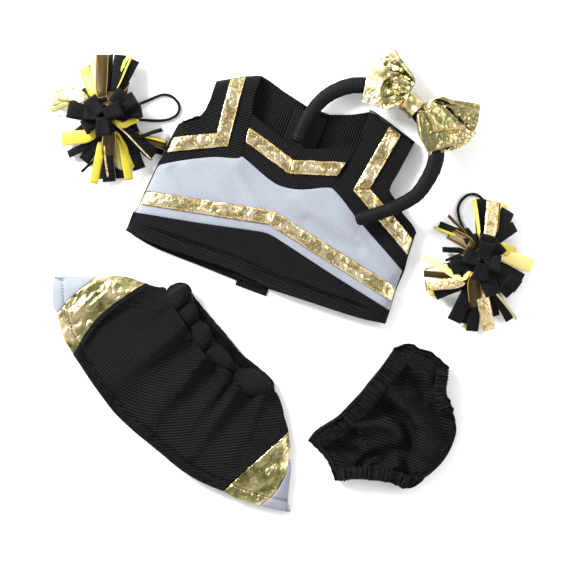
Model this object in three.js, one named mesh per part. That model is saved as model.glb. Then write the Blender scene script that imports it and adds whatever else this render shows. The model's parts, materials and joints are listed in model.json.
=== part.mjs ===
// A toy-sized cheer uniform, laid out flat: crop top, skirt, bloomers, bow headband and two ribbon pom-poms.
// Millimetres, +Z up. The pieces lie on the plane z = 0, front side up, and the origin is under the middle of the set.
// Each piece is drawn in its own flat frame (x across, y towards its waist or neck) and then turned into place.
import * as THREE from "three";

// ---- driving dimensions ----
const cloth = 1.2; // one ply of knit with its lining
const gap = 0.3; // clearance between pieces that touch
const trimWidth = 10; // gold braid on the top
const trimDepth = 0.6;
const topFront = 9; // underside of the top's front panels
const skirtFront = 12; // underside of the skirt's front panels
const bloomersFront = 12; // underside of the bloomers' front panel
const ribbonWidth = 9.5; // pom-pom ribbon
const ribbonDepth = 1.2; // a ribbon with its fold
const loopCord = 2; // diameter of the pom-poms' hand loops
const hoopWidth = 10; // headband, across the wrapped section
const seamWall = 1.6; // a turned seam, seen on edge
const top = { at: [-23, 7.6], turn: -20.5 };
const skirt = { at: [-82.5, -77.9], turn: -46 };
const bloomers = { at: [44.3, -74.7], turn: 46.3 };
const leftPom = { at: [-128.1, 119], turn: 0 };
const rightPom = { at: [134.4, 18.2], turn: 0 };
// The headband lies tilted: its left tip is inside the neck and its right arm on the shoulder.
const hoopTilt = { height: 20, riseX: 0.0414, riseY: -0.0984 };

const finish = (color, roughness, metalness = 0) =>
  new THREE.MeshStandardMaterial({ color, roughness, metalness });
const blackKnit = finish("#1b1b1d", 0.85);
const whiteKnit = finish("#d3d9e8", 0.7);
const goldLame = finish("#c9a23a", 0.35, 0.9);
const blackGrosgrain = finish("#151516", 0.7);
const goldRibbon = finish("#d9c02e", 0.4, 0.7);
const elasticWebbing = finish("#e8e6df", 0.8);
const hookAndLoop = finish("#101011", 0.95);
const springPlastic = finish("#2b2b2d", 0.5);

const set = new THREE.Group();

// ---- shapes ----
// Moves every edge of a line sideways by d, to the left of its direction, with mitred corners.
function beside(points, d, closed = false) {
  const p = points.map(([x, y]) => new THREE.Vector2(x, y));
  const n = p.length;
  const normal = (i, j) => {
    const e = p[j].clone().sub(p[i]).normalize();
    return new THREE.Vector2(-e.y, e.x);
  };
  return p.map((q, i) => {
    const before = i > 0 || closed ? normal((i + n - 1) % n, i) : normal(0, 1);
    const after = i < n - 1 || closed ? normal(i, (i + 1) % n) : before;
    const mid = before.clone().add(after).normalize();
    return q.clone().addScaledVector(mid, d / mid.dot(after)).toArray();
  });
}

const isClockwise = (points) =>
  THREE.ShapeUtils.area(points.map(([x, y]) => ({ x, y }))) < 0;
// A closed outline taken in all round, so that neighbouring panels keep the seam gap.
const takenIn = (points, d = gap / 2 + 0.05) => beside(points, isClockwise(points) ? -d : d, true);
const band = (line, width) => [
  ...beside(line, width / 2),
  ...beside(line, -width / 2).reverse(),
];
const shapeOf = (points) => new THREE.Shape(points.map(([x, y]) => new THREE.Vector2(x, y)));
const slab = (points, depth) =>
  new THREE.ExtrudeGeometry(shapeOf(points), { depth, bevelEnabled: false });
const back = (line) => [...line].reverse();

function place(group, name, geometry, material, z = 0) {
  const mesh = new THREE.Mesh(geometry, material);
  mesh.name = name;
  mesh.position.z = z;
  group.add(mesh);
  return mesh;
}

function garment({ at, turn }) {
  const group = new THREE.Group();
  group.position.set(at[0], at[1], 0);
  group.rotation.z = THREE.MathUtils.degToRad(turn);
  set.add(group);
  return group;
}

// ---- crop top: x across, y up towards the neck, origin at the middle of the hem ----
const hemLine = [[-96.7, -1.2], [-38.7, -6.1], [0, -6.9], [38, -3.6], [96.7, 1.2]];
const hemSeam = [[-96.4, 12.7], [-2.3, 31.6], [96.4, 11]];
const leftSideLow = [[-96.7, -1.2], [-96.4, 12.7]];
const leftSideMid = [[-96.4, 12.7], [-94, 22.5], [-92.1, 47.2]];
const leftSideHigh = [[-92.1, 47.2], [-88.1, 82.6]];
const leftArmhole = [[-88.1, 82.6], [-74.3, 92.4], [-73.1, 106.6], [-73.9, 119.2]];
const leftShoulder = [[-73.9, 119.2], [-54.9, 130.2], [-45.3, 134.2]];
const leftYokeSeam = [[-42.1, 106.2], [-38.1, 76]];
const leftPanelSeam = [[-38.1, 76], [-56.5, 68.7], [-72.4, 61], [-92.1, 47.2]];
const neckLine = [[-42.1, 106.2], [-4.5, 94.4], [35.5, 110.5]];
const yokeSeam = [[-38.1, 76], [-11.7, 66.8], [-0.3, 66.2], [11.2, 69.2], [28.7, 78]];
const rightYokeSeam = [[35.5, 110.5], [28.7, 78]];
const rightPanelSeam = [[28.7, 78], [50.6, 64.6], [79, 49.1], [94.9, 40.4]];
const rightShoulder = [[34.2, 136.8], [38.4, 136.7], [71.6, 126.8]];
const rightArmhole = [[71.6, 126.8], [66.5, 89.5], [80.6, 78.5], [94.7, 70.2]];
const rightSideHigh = [[94.7, 70.2], [94.9, 40.4]];
const rightSideMid = [[94.9, 40.4], [95.4, 27], [96.4, 11]];
const rightSideLow = [[96.4, 11], [96.7, 1.2]];
const backNeck = [[-45.3, 134.2], [-7.7, 125.4], [4, 125.4], [34.2, 136.8]];
const closureHalf = 12; // the back is open over this half width, under the hook-and-loop flap

const topGroup = garment(top);
const trimLevel = topFront + cloth + gap;
const frontPly = (name, outline, material) =>
  place(topGroup, name, slab(takenIn(outline), cloth), material, topFront);
frontPly("top_hem_panel", [...hemLine, ...back(hemSeam)], blackKnit);
frontPly(
  "top_white_panel",
  [...hemSeam, ...back(rightSideMid).slice(1), ...back(rightPanelSeam).slice(1), ...back(yokeSeam).slice(1),
    ...leftPanelSeam.slice(1), ...back(leftSideMid).slice(1, -1)],
  whiteKnit,
);
frontPly(
  "top_left_shoulder_panel",
  [...leftSideHigh, ...leftArmhole.slice(1), ...leftShoulder.slice(1), ...leftYokeSeam, ...leftPanelSeam.slice(1, -1)],
  blackKnit,
);
frontPly(
  "top_right_shoulder_panel",
  [...rightPanelSeam, ...back(rightSideHigh).slice(1), ...back(rightArmhole).slice(1),
    ...back(rightShoulder).slice(1), rightYokeSeam[0]],
  blackKnit,
);
frontPly("top_neck_yoke", [...neckLine, ...back(yokeSeam)], blackKnit);

const trims = {
  top_chest_trim: [[-93.4, 24.7], [-4, 43], [95, 22.7]],
  top_neck_trim: [[-39.4, 91.6], [-3.5, 81], [30.4, 92.1]],
  top_left_shoulder_trim: [[-60.2, 126.2], [-54.9, 82.2], [-88.9, 65.7]],
  top_right_shoulder_trim: [[55.6, 130.6], [48.3, 84], [94.2, 57.7]],
};
for (const [name, line] of Object.entries(trims))
  place(topGroup, name, slab(band(line, trimWidth), trimDepth), goldLame, trimLevel);

const backPly = (name, outline) => place(topGroup, name, slab(takenIn(outline), cloth), blackKnit);
backPly("top_back_left_panel", [
  [-closureHalf, -7], [-closureHalf, 126.4], backNeck[0], ...back(leftShoulder).slice(1), ...back(leftArmhole).slice(1),
  ...back(leftSideHigh).slice(1), ...back(leftSideMid).slice(1), leftSideLow[0],
]);
backPly("top_back_right_panel", [
  [closureHalf, 128.4], [closureHalf, -6], rightSideLow[1], rightSideLow[0], ...back(rightSideMid).slice(1),
  ...back(rightSideHigh).slice(1), ...back(rightArmhole).slice(1), ...back(rightShoulder).slice(1),
]);

// Turned seams join the front plies to the back plies at the sides and shoulders.
const seamHeight = topFront - cloth - 2 * gap;
const seams = {
  top_left_side_seam: beside([...leftSideLow, ...leftSideMid.slice(1), ...leftSideHigh.slice(1)], -1),
  top_right_side_seam: beside([...rightSideHigh, ...rightSideMid.slice(1), rightSideLow[1]], -1),
  top_left_shoulder_seam: beside(leftShoulder, -1),
  top_right_shoulder_seam: beside(rightShoulder, -1),
};
for (const [name, line] of Object.entries(seams))
  place(topGroup, name, slab(band(line, seamWall), seamHeight), blackKnit, cloth + gap);

// The back closes with a flap on the right half that presses onto a loop tape on the left half.
const tapeDepth = 0.7;
const box = (x0, x1, y0, y1, depth) => slab([[x0, y0], [x1, y0], [x1, y1], [x0, y1]], depth);
place(topGroup, "top_closure_flap", box(-11.6, 11.6, -10, 126, 0.9), blackKnit);
place(topGroup, "top_hook_tape", box(-9, 3, 2, 118, tapeDepth), hookAndLoop, 0.9 + gap);
place(topGroup, "top_loop_tape", box(-16, 8, -5, 122, tapeDepth), hookAndLoop, 0.9 + 2 * gap + tapeDepth);

// ---- skirt: x across, y up towards the waist, origin on the chord of the hem ----
const skirtHem = [[-118, -2], [-98, -17], [-70, -27.6], [-34.8, -33.5], [0, -34.8], [38, -31], [71.5, -19.5], [98, -7],
  [117, 3.4]];
const skirtLeftEdge = [[-118, -2], [-98, 21.8], [-72, 43.4], [-58.5, 49.4]];
const skirtRightEdge = [[117, 3.4], [88.9, 32], [72, 43.8], [57, 51.2]];
const waistSeam = [[-57, 45], [-39.5, 44.4], [-5.6, 41.4], [26, 42], [47, 45]];
const waistCorners = { left: [-57, 49.4], right: [[49, 55], [47, 55]] };
const whiteInsetX = 98; // where gold meets white, either side
const goldInsetX = 71.5; // where black meets gold, either side

const skirtGroup = garment(skirt);
const skirtPly = (name, outline, material, z) =>
  place(skirtGroup, name, slab(takenIn(outline), cloth), material, z);
skirtPly(
  "skirt_front_panel",
  [...skirtHem.slice(2, 7), [goldInsetX, 43.8], ...waistCorners.right, ...back(waistSeam), waistCorners.left,
    [-goldInsetX, 43.2]],
  blackKnit, skirtFront,
);
skirtPly(
  "skirt_back_panel",
  [...skirtHem, ...skirtRightEdge.slice(1), ...waistCorners.right, ...back(waistSeam), waistCorners.left,
    ...back(skirtLeftEdge).slice(1, -1)],
  blackKnit, 0,
);
skirtPly("skirt_left_gold_inset", [skirtHem[1], skirtHem[2], [-goldInsetX, 43.2], skirtLeftEdge[1]], goldLame, skirtFront);
skirtPly("skirt_left_white_inset", [skirtHem[0], skirtHem[1], skirtLeftEdge[1]], whiteKnit, skirtFront);
skirtPly("skirt_right_gold_inset", [skirtHem[6], skirtHem[7], [whiteInsetX, 23], skirtRightEdge[1], [goldInsetX, 43.8]],
  goldLame, skirtFront);
skirtPly("skirt_right_white_inset", [skirtHem[7], skirtHem[8], [whiteInsetX, 22.6]], whiteKnit, skirtFront);
const skirtSeamHeight = skirtFront - cloth - 2 * gap;
for (const [name, line] of [
  ["skirt_left_side_seam", beside([...skirtLeftEdge.slice(0, 3), [-66, 46.1]], -1)],
  ["skirt_right_side_seam", beside(back(skirtRightEdge), -1)],
])
  place(skirtGroup, name, slab(band(line, seamWall), skirtSeamHeight), blackKnit, cloth + gap);

// A waist casing is a flat sleeve of cloth with the elastic running through it, one sleeve in front and one behind.
function waistCasing(group, name, [x0, x1], [y0, y1], z) {
  const depth = 3.8;
  const half = (y1 - y0) / 2;
  const sleeve = shapeOf([[0, -half], [depth, -half], [depth, half], [0, half]]);
  const wall = 1.1;
  sleeve.holes.push(new THREE.Path(
    [[wall, wall - half], [depth - wall, wall - half], [depth - wall, half - wall], [wall, half - wall]]
      .map(([x, y]) => new THREE.Vector2(x, y)),
  ));
  const geometry = new THREE.ExtrudeGeometry(sleeve, { depth: x1 - x0, bevelEnabled: false });
  geometry.rotateY(-Math.PI / 2); // the sleeve's depth stands up, and its length runs along -x
  geometry.translate(x1, (y0 + y1) / 2, 0);
  return place(group, name, geometry, blackKnit, z);
}

// A closed loop of webbing that stands on edge, seen from the waist as a flattened ring.
function loopBand(x0, x1, z0, z1, wall) {
  const ring = (inner) => {
    const r = (z1 - z0) / 2 - inner;
    const mid = (z0 + z1) / 2;
    const path = inner ? new THREE.Path() : new THREE.Shape();
    path.absarc(x1 - inner - r, mid, r, -Math.PI / 2, Math.PI / 2, false);
    path.absarc(x0 + inner + r, mid, r, Math.PI / 2, (3 * Math.PI) / 2, false);
    path.closePath();
    return path;
  };
  const shape = ring(0);
  shape.holes.push(ring(wall));
  return shape;
}

function loopAcross(shape, width, y) {
  const geometry = new THREE.ExtrudeGeometry(shape, { depth: width, bevelEnabled: false, curveSegments: 5 });
  geometry.rotateX(Math.PI / 2); // the ring's height stands up, and its width runs along -y
  geometry.translate(0, y, 0);
  return geometry;
}

const skirtWaist = [45.6, 60];
waistCasing(skirtGroup, "skirt_waist_casing_back", [-56, 46], skirtWaist, 0);
waistCasing(skirtGroup, "skirt_waist_casing_front", [-56, 46], skirtWaist, skirtFront - 2.6);
place(
  skirtGroup, "skirt_waist_elastic",
  loopAcross(loopBand(-63, 53, 1.5, skirtFront - 2.6 + 2.3, 0.8), 10, skirtWaist[1] - 2.2), elasticWebbing,
);

// ---- bloomers: x across, y up towards the waist, origin at the middle of the waist edge ----
const bloomersGroup = garment(bloomers);
const bloomersWaist = [-13, -1.5];
const leftLeg = [[-51.2, -34.5], [-20, -74.8]]; // leg edges, from the side to the crotch
const rightLeg = [[60.8, -37], [40.5, -60]];
const legCasing = 8; // width of the gathered leg edge
const leftLegInner = beside(leftLeg, legCasing + gap);
const rightLegInner = beside(rightLeg, -legCasing - gap);
const crotch = [[-19, -75], [-4.2, -78.5], [12.9, -78.8], [31.7, -71.7], [40, -61]];
const bloomersSeat = [
  [-43.5, bloomersWaist[0] - gap], ...leftLegInner, [-12.6, -76.9], [-4.2, -78.5], [12.9, -78.8], [31.7, -71.7],
  [36, -66.4], ...back(rightLegInner), [59, -31], [58, -19], [54.5, bloomersWaist[0] - gap],
];
place(bloomersGroup, "bloomers_back_panel", slab(takenIn(bloomersSeat), cloth), blackKnit, 0);
place(bloomersGroup, "bloomers_front_panel", slab(takenIn(bloomersSeat), cloth), blackKnit, bloomersFront);
const bloomersSeamHeight = bloomersFront - cloth - 2 * gap;
for (const [name, line] of [
  ["bloomers_gusset", beside(crotch.slice(1, -1), 1)],
  ["bloomers_left_side_seam", beside([[-43.6, bloomersWaist[0] - 1], [-45.4, -20], leftLegInner[0]], 1)],
  ["bloomers_right_side_seam", beside([[54.4, bloomersWaist[0] - 1], [58, -19], [59, -30]], -1)],
])
  place(bloomersGroup, name, slab(band(line, seamWall), bloomersSeamHeight), blackKnit, cloth + gap);
waistCasing(bloomersGroup, "bloomers_waist_casing_back", [-40, 42], bloomersWaist, 0);
waistCasing(bloomersGroup, "bloomers_waist_casing_front", [-40, 42], bloomersWaist, bloomersFront - 2.6);
place(
  bloomersGroup, "bloomers_waist_elastic",
  loopAcross(loopBand(-47, 49, 1.5, bloomersFront - 2.6 + 2.3, 0.8), 8, bloomersWaist[1] - 1.7), elasticWebbing,
);
// Each leg edge is a gathered ring of cloth with its elastic just inside.
function legEdge(side, [start, end]) {
  const span = new THREE.Vector2(end[0] - start[0], end[1] - start[1]);
  const leg = new THREE.Group();
  leg.position.set((start[0] + end[0]) / 2, (start[1] + end[1]) / 2, 0);
  leg.rotation.z = side === "left" ? span.angle() : span.angle() + Math.PI; // +y faces the body of the garment
  bloomersGroup.add(leg);
  const half = span.length() / 2 - 1;
  const height = bloomersFront + cloth;
  place(leg, `bloomers_${side}_leg_casing`,
    loopAcross(loopBand(-half, half, 0, height, cloth), legCasing, legCasing), blackKnit);
  const inner = cloth + gap;
  place(leg, `bloomers_${side}_leg_elastic`,
    loopAcross(loopBand(inner - half, half - inner, inner, height - inner, 0.8), 5, 6.5), elasticWebbing);
}
legEdge("left", leftLeg);
legEdge("right", rightLeg);

// ---- headband: drawn flat in the hoop's own plane, then tilted into place ----
const hoopLine = new THREE.CatmullRomCurve3(
  [[6.2, 103.4], [14.4, 120.5], [29.7, 136.4], [52, 142.2], [84, 130], [103.2, 97], [92.6, 68.4], [74, 56], [48.4, 47.6]]
    .map(([x, y]) => new THREE.Vector3(x, y, 0)),
  false, "centripetal",
);
const armStarts = { left: 0.33, right: 0.6 }; // where the arms meet the crown, as shares of the hoop
const hoopGroup = new THREE.Group();
hoopGroup.position.z = hoopTilt.height;
hoopGroup.quaternion.setFromUnitVectors(
  new THREE.Vector3(0, 0, 1),
  new THREE.Vector3(-hoopTilt.riseX, -hoopTilt.riseY, 1).normalize(),
);
set.add(hoopGroup);

// A stretch of the hoop from one share of its length to another.
function stretch(from, to, steps) {
  const points = Array.from({ length: steps + 1 }, (_, i) => hoopLine.getPointAt(from + ((to - from) * i) / steps));
  return new THREE.CatmullRomCurve3(points, false, "centripetal");
}
// An oval section for a sweep: its height stands up, and a hole runs the other way round.
function oval(width, height, isHole = false) {
  const path = isHole ? new THREE.Path() : new THREE.Shape();
  path.absellipse(0, 0, height / 2, width / 2, 0, 2 * Math.PI, isHole);
  return path;
}
const along = (curve, section, steps, curveSegments) =>
  new THREE.ExtrudeGeometry(section, { extrudePath: curve, steps, curveSegments, bevelEnabled: false });
// The ribbon wrap is a sleeve round a springy flat core.
const wrapHeight = 8.4;
const coreHeight = 3;
function hoopPart(name, from, to, steps, width) {
  const curve = stretch(from, to, steps);
  const coreWidth = width - 4;
  const sleeve = oval(width, wrapHeight);
  sleeve.holes.push(oval(coreWidth + 2 * gap, coreHeight + 2 * gap, true));
  place(hoopGroup, `${name}_wrap`, along(curve, sleeve, steps, 6), blackGrosgrain);
  place(hoopGroup, `${name}_core`, along(curve, oval(coreWidth, coreHeight), steps, 6), springPlastic);
}
const jointGap = (4 * gap) / hoopLine.getLength(); // room for the arms to spread
hoopPart("headband_left_arm", 0, armStarts.left - jointGap, 12, hoopWidth - 1);
hoopPart("headband_crown", armStarts.left, armStarts.right, 10, hoopWidth);
hoopPart("headband_right_arm", armStarts.right + jointGap, 1, 14, hoopWidth - 1);

// The bow stands on the crown: two ribbon loops pinched in the middle, and the strip that ties them down.
const bowBase = 4.9; // above the middle of the hoop
const bowHeight = 15;
const knot = { share: 0.47, width: 10, wall: 1.3 }; // where the strip is along the hoop, and its size
const knotAt = hoopLine.getPointAt(knot.share);
const knotTangent = hoopLine.getTangentAt(knot.share);
const pinch = { reach: 6.5, width: 0.2, height: 0.4 }; // how far out a loop stays pinched, and to what share
function bowLoop(name, turn, length, width) {
  const geometry = loopAcross(loopBand(1, length, 0, bowHeight, cloth), width, width / 2);
  const point = new THREE.Vector3();
  const position = geometry.getAttribute("position");
  for (let i = 0; i < position.count; i++) {
    point.fromBufferAttribute(position, i);
    const open = THREE.MathUtils.clamp((point.x - pinch.reach) / (0.7 * length - pinch.reach), 0, 1);
    point.y *= THREE.MathUtils.lerp(pinch.width, 1, open);
    point.z *= THREE.MathUtils.lerp(pinch.height, 1, open);
    position.setXYZ(i, ...point.toArray());
  }
  const loop = place(hoopGroup, name, geometry, goldLame);
  loop.position.set(knotAt.x, knotAt.y, bowBase);
  loop.rotation.z = THREE.MathUtils.degToRad(turn);
}
bowLoop("bow_left_loop", 137, 38, 44);
bowLoop("bow_right_loop", -35, 46, 46);
const knotStrip = (inset) => {
  const half = hoopWidth / 2 + 0.6 + knot.wall - inset;
  const low = -wrapHeight / 2 - 0.4 - knot.wall + inset;
  const high = bowBase + pinch.height * bowHeight + 0.6 + knot.wall - inset;
  return [[-half, low], [half, low], [half, high], [-half, high]];
};
const knotSection = shapeOf(knotStrip(0));
knotSection.holes.push(new THREE.Path(knotStrip(knot.wall).map(([x, y]) => new THREE.Vector2(x, y))));
const knotWrap = new THREE.ExtrudeGeometry(knotSection, { depth: knot.width, bevelEnabled: false });
knotWrap.translate(0, 0, -knot.width / 2).rotateX(Math.PI / 2).rotateZ(Math.PI / 2);
const knotMesh = place(hoopGroup, "bow_centre_wrap", knotWrap, goldLame);
knotMesh.position.copy(knotAt);
knotMesh.rotation.z = Math.atan2(knotTangent.y, knotTangent.x);

// ---- pom-poms: ribbons tied across the middle, stacked in layers, with an elastic hand loop ----
const tieRadius = 7;
const tieHeight = 26;
const ribbonLayer = 11; // from one layer of ribbons to the next
// A flat star of ribbons round the tie; arms are [direction in degrees, length].
function ribbonStar(arms) {
  const hub = 20; // the ribbons lie side by side up to here
  const outline = arms.flatMap(([degrees, length]) => {
    const turn = THREE.MathUtils.degToRad(degrees);
    return [[hub, -0.5], [length, -0.5], [length, 0.5], [hub, 0.5]].map(([r, side]) =>
      new THREE.Vector2(r, side * ribbonWidth).rotateAround(new THREE.Vector2(), turn).toArray());
  });
  const star = shapeOf(outline);
  const tieHole = new THREE.Path();
  tieHole.absarc(0, 0, tieRadius + gap, 0, 2 * Math.PI, true);
  star.holes.push(tieHole);
  return new THREE.ExtrudeGeometry(star, { depth: ribbonDepth, bevelEnabled: false, curveSegments: 12 });
}
// Loop points are [x, y, z] of the cord's middle, from one side of the tie round to the other.
function pomPom(side, frame, { lower, gold, upper, loop }) {
  const pom = garment(frame);
  const tie = new THREE.CylinderGeometry(tieRadius, tieRadius, tieHeight, 16);
  tie.rotateX(Math.PI / 2).translate(0, 0, tieHeight / 2);
  place(pom, `pom_${side}_tie`, tie, blackGrosgrain);
  place(pom, `pom_${side}_lower_ribbons`, ribbonStar(lower), blackGrosgrain);
  place(pom, `pom_${side}_gold_ribbons`, ribbonStar(gold), goldRibbon, ribbonLayer);
  place(pom, `pom_${side}_upper_ribbons`, ribbonStar(upper), blackGrosgrain, 2 * ribbonLayer);
  const route = new THREE.CatmullRomCurve3(loop.map((p) => new THREE.Vector3(...p)), false, "centripetal");
  place(pom, `pom_${side}_hand_loop`, along(route, oval(loopCord, loopCord), 26, 4), blackGrosgrain);
}
pomPom("left", leftPom, {
  lower: [[64, 47], [92, 44], [120, 36], [170, 34], [205, 30], [240, 40], [273, 44], [308, 44], [336, 46]],
  gold: [[73, 46], [101, 44], [151, 39], [179, 39], [207, 34], [259, 46], [290, 46], [319, 44], [347, 45]],
  upper: [[15, 26], [65, 28], [115, 30], [160, 28], [210, 30], [262, 34], [312, 30]],
  loop: [[6.7, 3.2, 6], [9.6, 4.6, 5.6], [13, 6.2, 4.6], [17, 8, 3.4], [21, 9.8, 2.8], [25.5, 11.8, 2], [30, 13.8, 1.2],
    [35, 16, 1.1], [40, 17.6, 1.1], [45, 16.8, 1.1], [49, 13.6, 1.1], [51.2, 9.4, 1.1], [50.4, 4.8, 1.1],
    [46.6, 1.4, 1.1], [41, -0.4, 1.1], [35, -0.8, 1.2], [29, -0.6, 1.6], [24, -0.4, 2.5], [19, -0.3, 3.2],
    [14, -0.2, 4.4], [10.6, -0.1, 5.4], [7.4, 0, 6]],
});
pomPom("right", rightPom, {
  lower: [[48, 37], [98, 42], [132, 40], [163, 28], [226, 37], [255, 48], [298, 47], [338, 37]],
  gold: [[20, 30], [78, 45], [142, 41], [172, 40], [202, 42], [267, 48], [304, 48], [352, 39]],
  upper: [[20, 26], [75, 30], [130, 28], [185, 28], [240, 30], [300, 30]],
  loop: [[-2.4, 7, 6], [-3.6, 10, 5.4], [-5.2, 13.6, 4.4], [-7.2, 17.4, 3.4], [-9.2, 21, 2.9], [-11, 24.6, 2.2],
    [-12.6, 28.6, 1.3], [-13.8, 33, 1.1], [-14.2, 37.4, 1.1], [-13, 41.8, 1.1], [-10, 45.6, 1.1], [-5.6, 48, 1.1],
    [-1, 47.6, 1.1], [2.8, 44.6, 1.1], [4.6, 40, 1.1], [5, 35, 1.1], [4.8, 30, 1.3], [4.2, 25.4, 2.2], [3.4, 21, 2.9],
    [2.6, 17, 3.4], [1.9, 13, 4.6], [1.4, 10, 5.4], [1, 7.4, 6]],
});

// The origin is under the middle of the laid-out set.
const extent = new THREE.Box3().setFromObject(set, true);
const middle = extent.getCenter(new THREE.Vector3());
set.position.set(-middle.x, -middle.y, 0);

export default set;
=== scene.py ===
"""Cheer uniform for a soft toy: top, skirt, bloomers, headband with a bow and two ribbon pom-poms, laid out flat."""

import json
import math

import bmesh
import bpy
from bpy.props import FloatProperty, FloatVectorProperty, PointerProperty
from mathutils import Matrix, Vector, geometry, noise


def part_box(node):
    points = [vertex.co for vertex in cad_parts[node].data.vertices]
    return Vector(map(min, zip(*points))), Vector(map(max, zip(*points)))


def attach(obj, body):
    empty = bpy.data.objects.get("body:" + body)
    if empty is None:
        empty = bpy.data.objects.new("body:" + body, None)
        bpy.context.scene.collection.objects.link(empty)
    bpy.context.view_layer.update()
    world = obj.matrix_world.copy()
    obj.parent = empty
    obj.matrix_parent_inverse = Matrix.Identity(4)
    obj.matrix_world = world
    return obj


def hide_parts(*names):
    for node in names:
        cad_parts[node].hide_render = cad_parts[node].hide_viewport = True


bl_info = {
    "name": "Toy cheer uniform",
    "version": (1, 0, 0),
    "blender": (4, 5, 0),
    "location": "3D View > Sidebar > Uniform",
    "description": "Sews a toy-size cheer uniform over its packed frame",
    "category": "Add Mesh",
}

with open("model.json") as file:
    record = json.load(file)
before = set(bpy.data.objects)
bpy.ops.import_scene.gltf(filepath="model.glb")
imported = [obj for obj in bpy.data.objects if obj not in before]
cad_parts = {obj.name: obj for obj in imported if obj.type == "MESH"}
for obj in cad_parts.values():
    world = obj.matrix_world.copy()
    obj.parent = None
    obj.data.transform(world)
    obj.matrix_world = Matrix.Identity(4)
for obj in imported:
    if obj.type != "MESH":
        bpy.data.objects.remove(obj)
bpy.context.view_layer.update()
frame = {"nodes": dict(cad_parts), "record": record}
MM = 0.001
WELD = 1e-6  # points closer than this, in metres, are one point
SOLVER_SCALE = 10  # how many times life size the cloth is simulated
SETTLED_SHARE = 0.5  # how much of a slack panel's height is the simulated cloth's, and the rest its drawn loft's
LOWEST_FOLD = 2.8  # millimetres above the table, where the ply underneath is
SEAM_REACH = 1.1  # how far in from a seam, in millimetres, the cloth is drawn down to it
VIEW_WIDTH = 0.4032  # metres of table that the camera sees from side to side


def colour(code):
    """An sRGB hex colour as the linear numbers that a shader takes."""
    shares = [int(code[i : i + 2], 16) / 255 for i in (0, 2, 4)]
    return [c / 12.92 if c <= 0.04045 else ((c + 0.055) / 1.055) ** 2.4 for c in shares]


def swatch(label, note, code):
    return FloatVectorProperty(
        name=label, description=note, subtype="COLOR", size=3, min=0, max=1, default=colour(code),
    )


def size(label, note, millimetres):
    return FloatProperty(name=label, description=note, default=millimetres * MM, unit="LENGTH", precision=5)


class UniformColours(bpy.types.PropertyGroup):
    # In the ribbed finishes black and black_rib are painted shade in the rib hollows and a painted highlight on the
    # crowns; in the fibre finishes they are the fibres' random tone.
    black: swatch("Black knit", "Hollow of the black cloth's ribs", "010102")
    black_rib: swatch("Black rib", "Crown of the black cloth's ribs", "151518")
    # The white knit is coloured between white on its rib crowns and white_shade in their hollows: a painted highlight
    # and painted shade.
    white: swatch("White knit", "Front panel and the skirt's side insets", "92969F")
    white_shade: swatch("White hollow", "Hollow of the white cloth's ribs", "848893")
    # In the lame these four stand in for its light: pale is a painted highlight on the crests, gold a painted warm
    # reflection in the folds, brown painted shade where it turns away; sage is the foil's own tone where it lies level.
    sage: swatch("Sage foil", "Lame where it lies flat", "9C9767")
    brown: swatch("Brown foil", "Lame where it turns away", "5A4814")
    gold: swatch("Gold foil", "Lame in its folds", "B08A34")
    pale: swatch("Pale foil", "Lame on its crests", "EBDDB6")
    yellow: swatch("Yellow satin", "Pom-pom ribbons", "C2B22C")
    cream: swatch("Cream satin", "Pale pom-pom ribbons", "E6D37C")
    thread: swatch("Gold thread", "Stitching on the braid", "E0A81C")


class UniformSizes(bpy.types.PropertyGroup):
    cloth: size("Cloth", "Thickness of the knit", 0.9)
    foil: size("Lame", "Thickness of the braid", 0.6)
    braid: size("Braid width", "Width of the gold braid", 10)
    ribbon: size("Ribbon", "Thickness of the pom-pom ribbon", 0.35)
    stitch: size("Stitch", "Length of one stitch", 1.5)
    pitch: size("Stitch pitch", "From one stitch to the next", 2.4)
    thread: size("Thread", "Diameter of the sewing thread", 0.42)
    cord: size("Hand loop", "Diameter of the elastic cord", 2)


def sizes():
    return bpy.context.scene.uniform_sizes


# ---- where things lie -------------------------------------------------------


class Place:
    """Where a garment lies: its body, its own origin and the angle it is turned by, from one node of known place."""

    def __init__(self, body, node, own=(0, 0), turn=0):
        low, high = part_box(node)
        self.body = body
        self.turn = Matrix.Rotation(math.radians(turn), 2)
        self.origin = ((low + high) / 2).to_2d() - self.turn @ (Vector(own) * MM)

    def at(self, x, y, z):
        flat = self.origin + self.turn @ Vector((x * MM, y * MM))
        return Vector((flat.x, flat.y, z * MM))


TOP = Place("top", "top_closure_flap", (0, 58), -20.5)
SKIRT = Place("skirt", "skirt_waist_casing_back", (-5, 52.8), -46)
BLOOMERS = Place("bloomers", "bloomers_waist_casing_back", (1, -7.25), 46.3)
LEFT_POM = Place("pom_left", "pom_left_tie")
RIGHT_POM = Place("pom_right", "pom_right_tie")
# The headband and the camera are placed square to the table, from a point a little way off the top's own origin.
TABLE = Place("headband_crown", "top_closure_flap")
TABLE.origin = TOP.origin - Vector((-23, 7.6)) * MM
TABLE.turn = Matrix.Identity(2)


def ease(t):
    t = min(max(t, 0.0), 1.0)
    return t * t * (3 - 2 * t)


def mix(a, b, t):
    return a + (b - a) * t


def bump(t, middle, spread):
    return math.exp(-(((t - middle) / spread) ** 2))


def grain(x, y, z=0.0):
    return noise.noise(Vector((x, y, z)))


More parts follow.
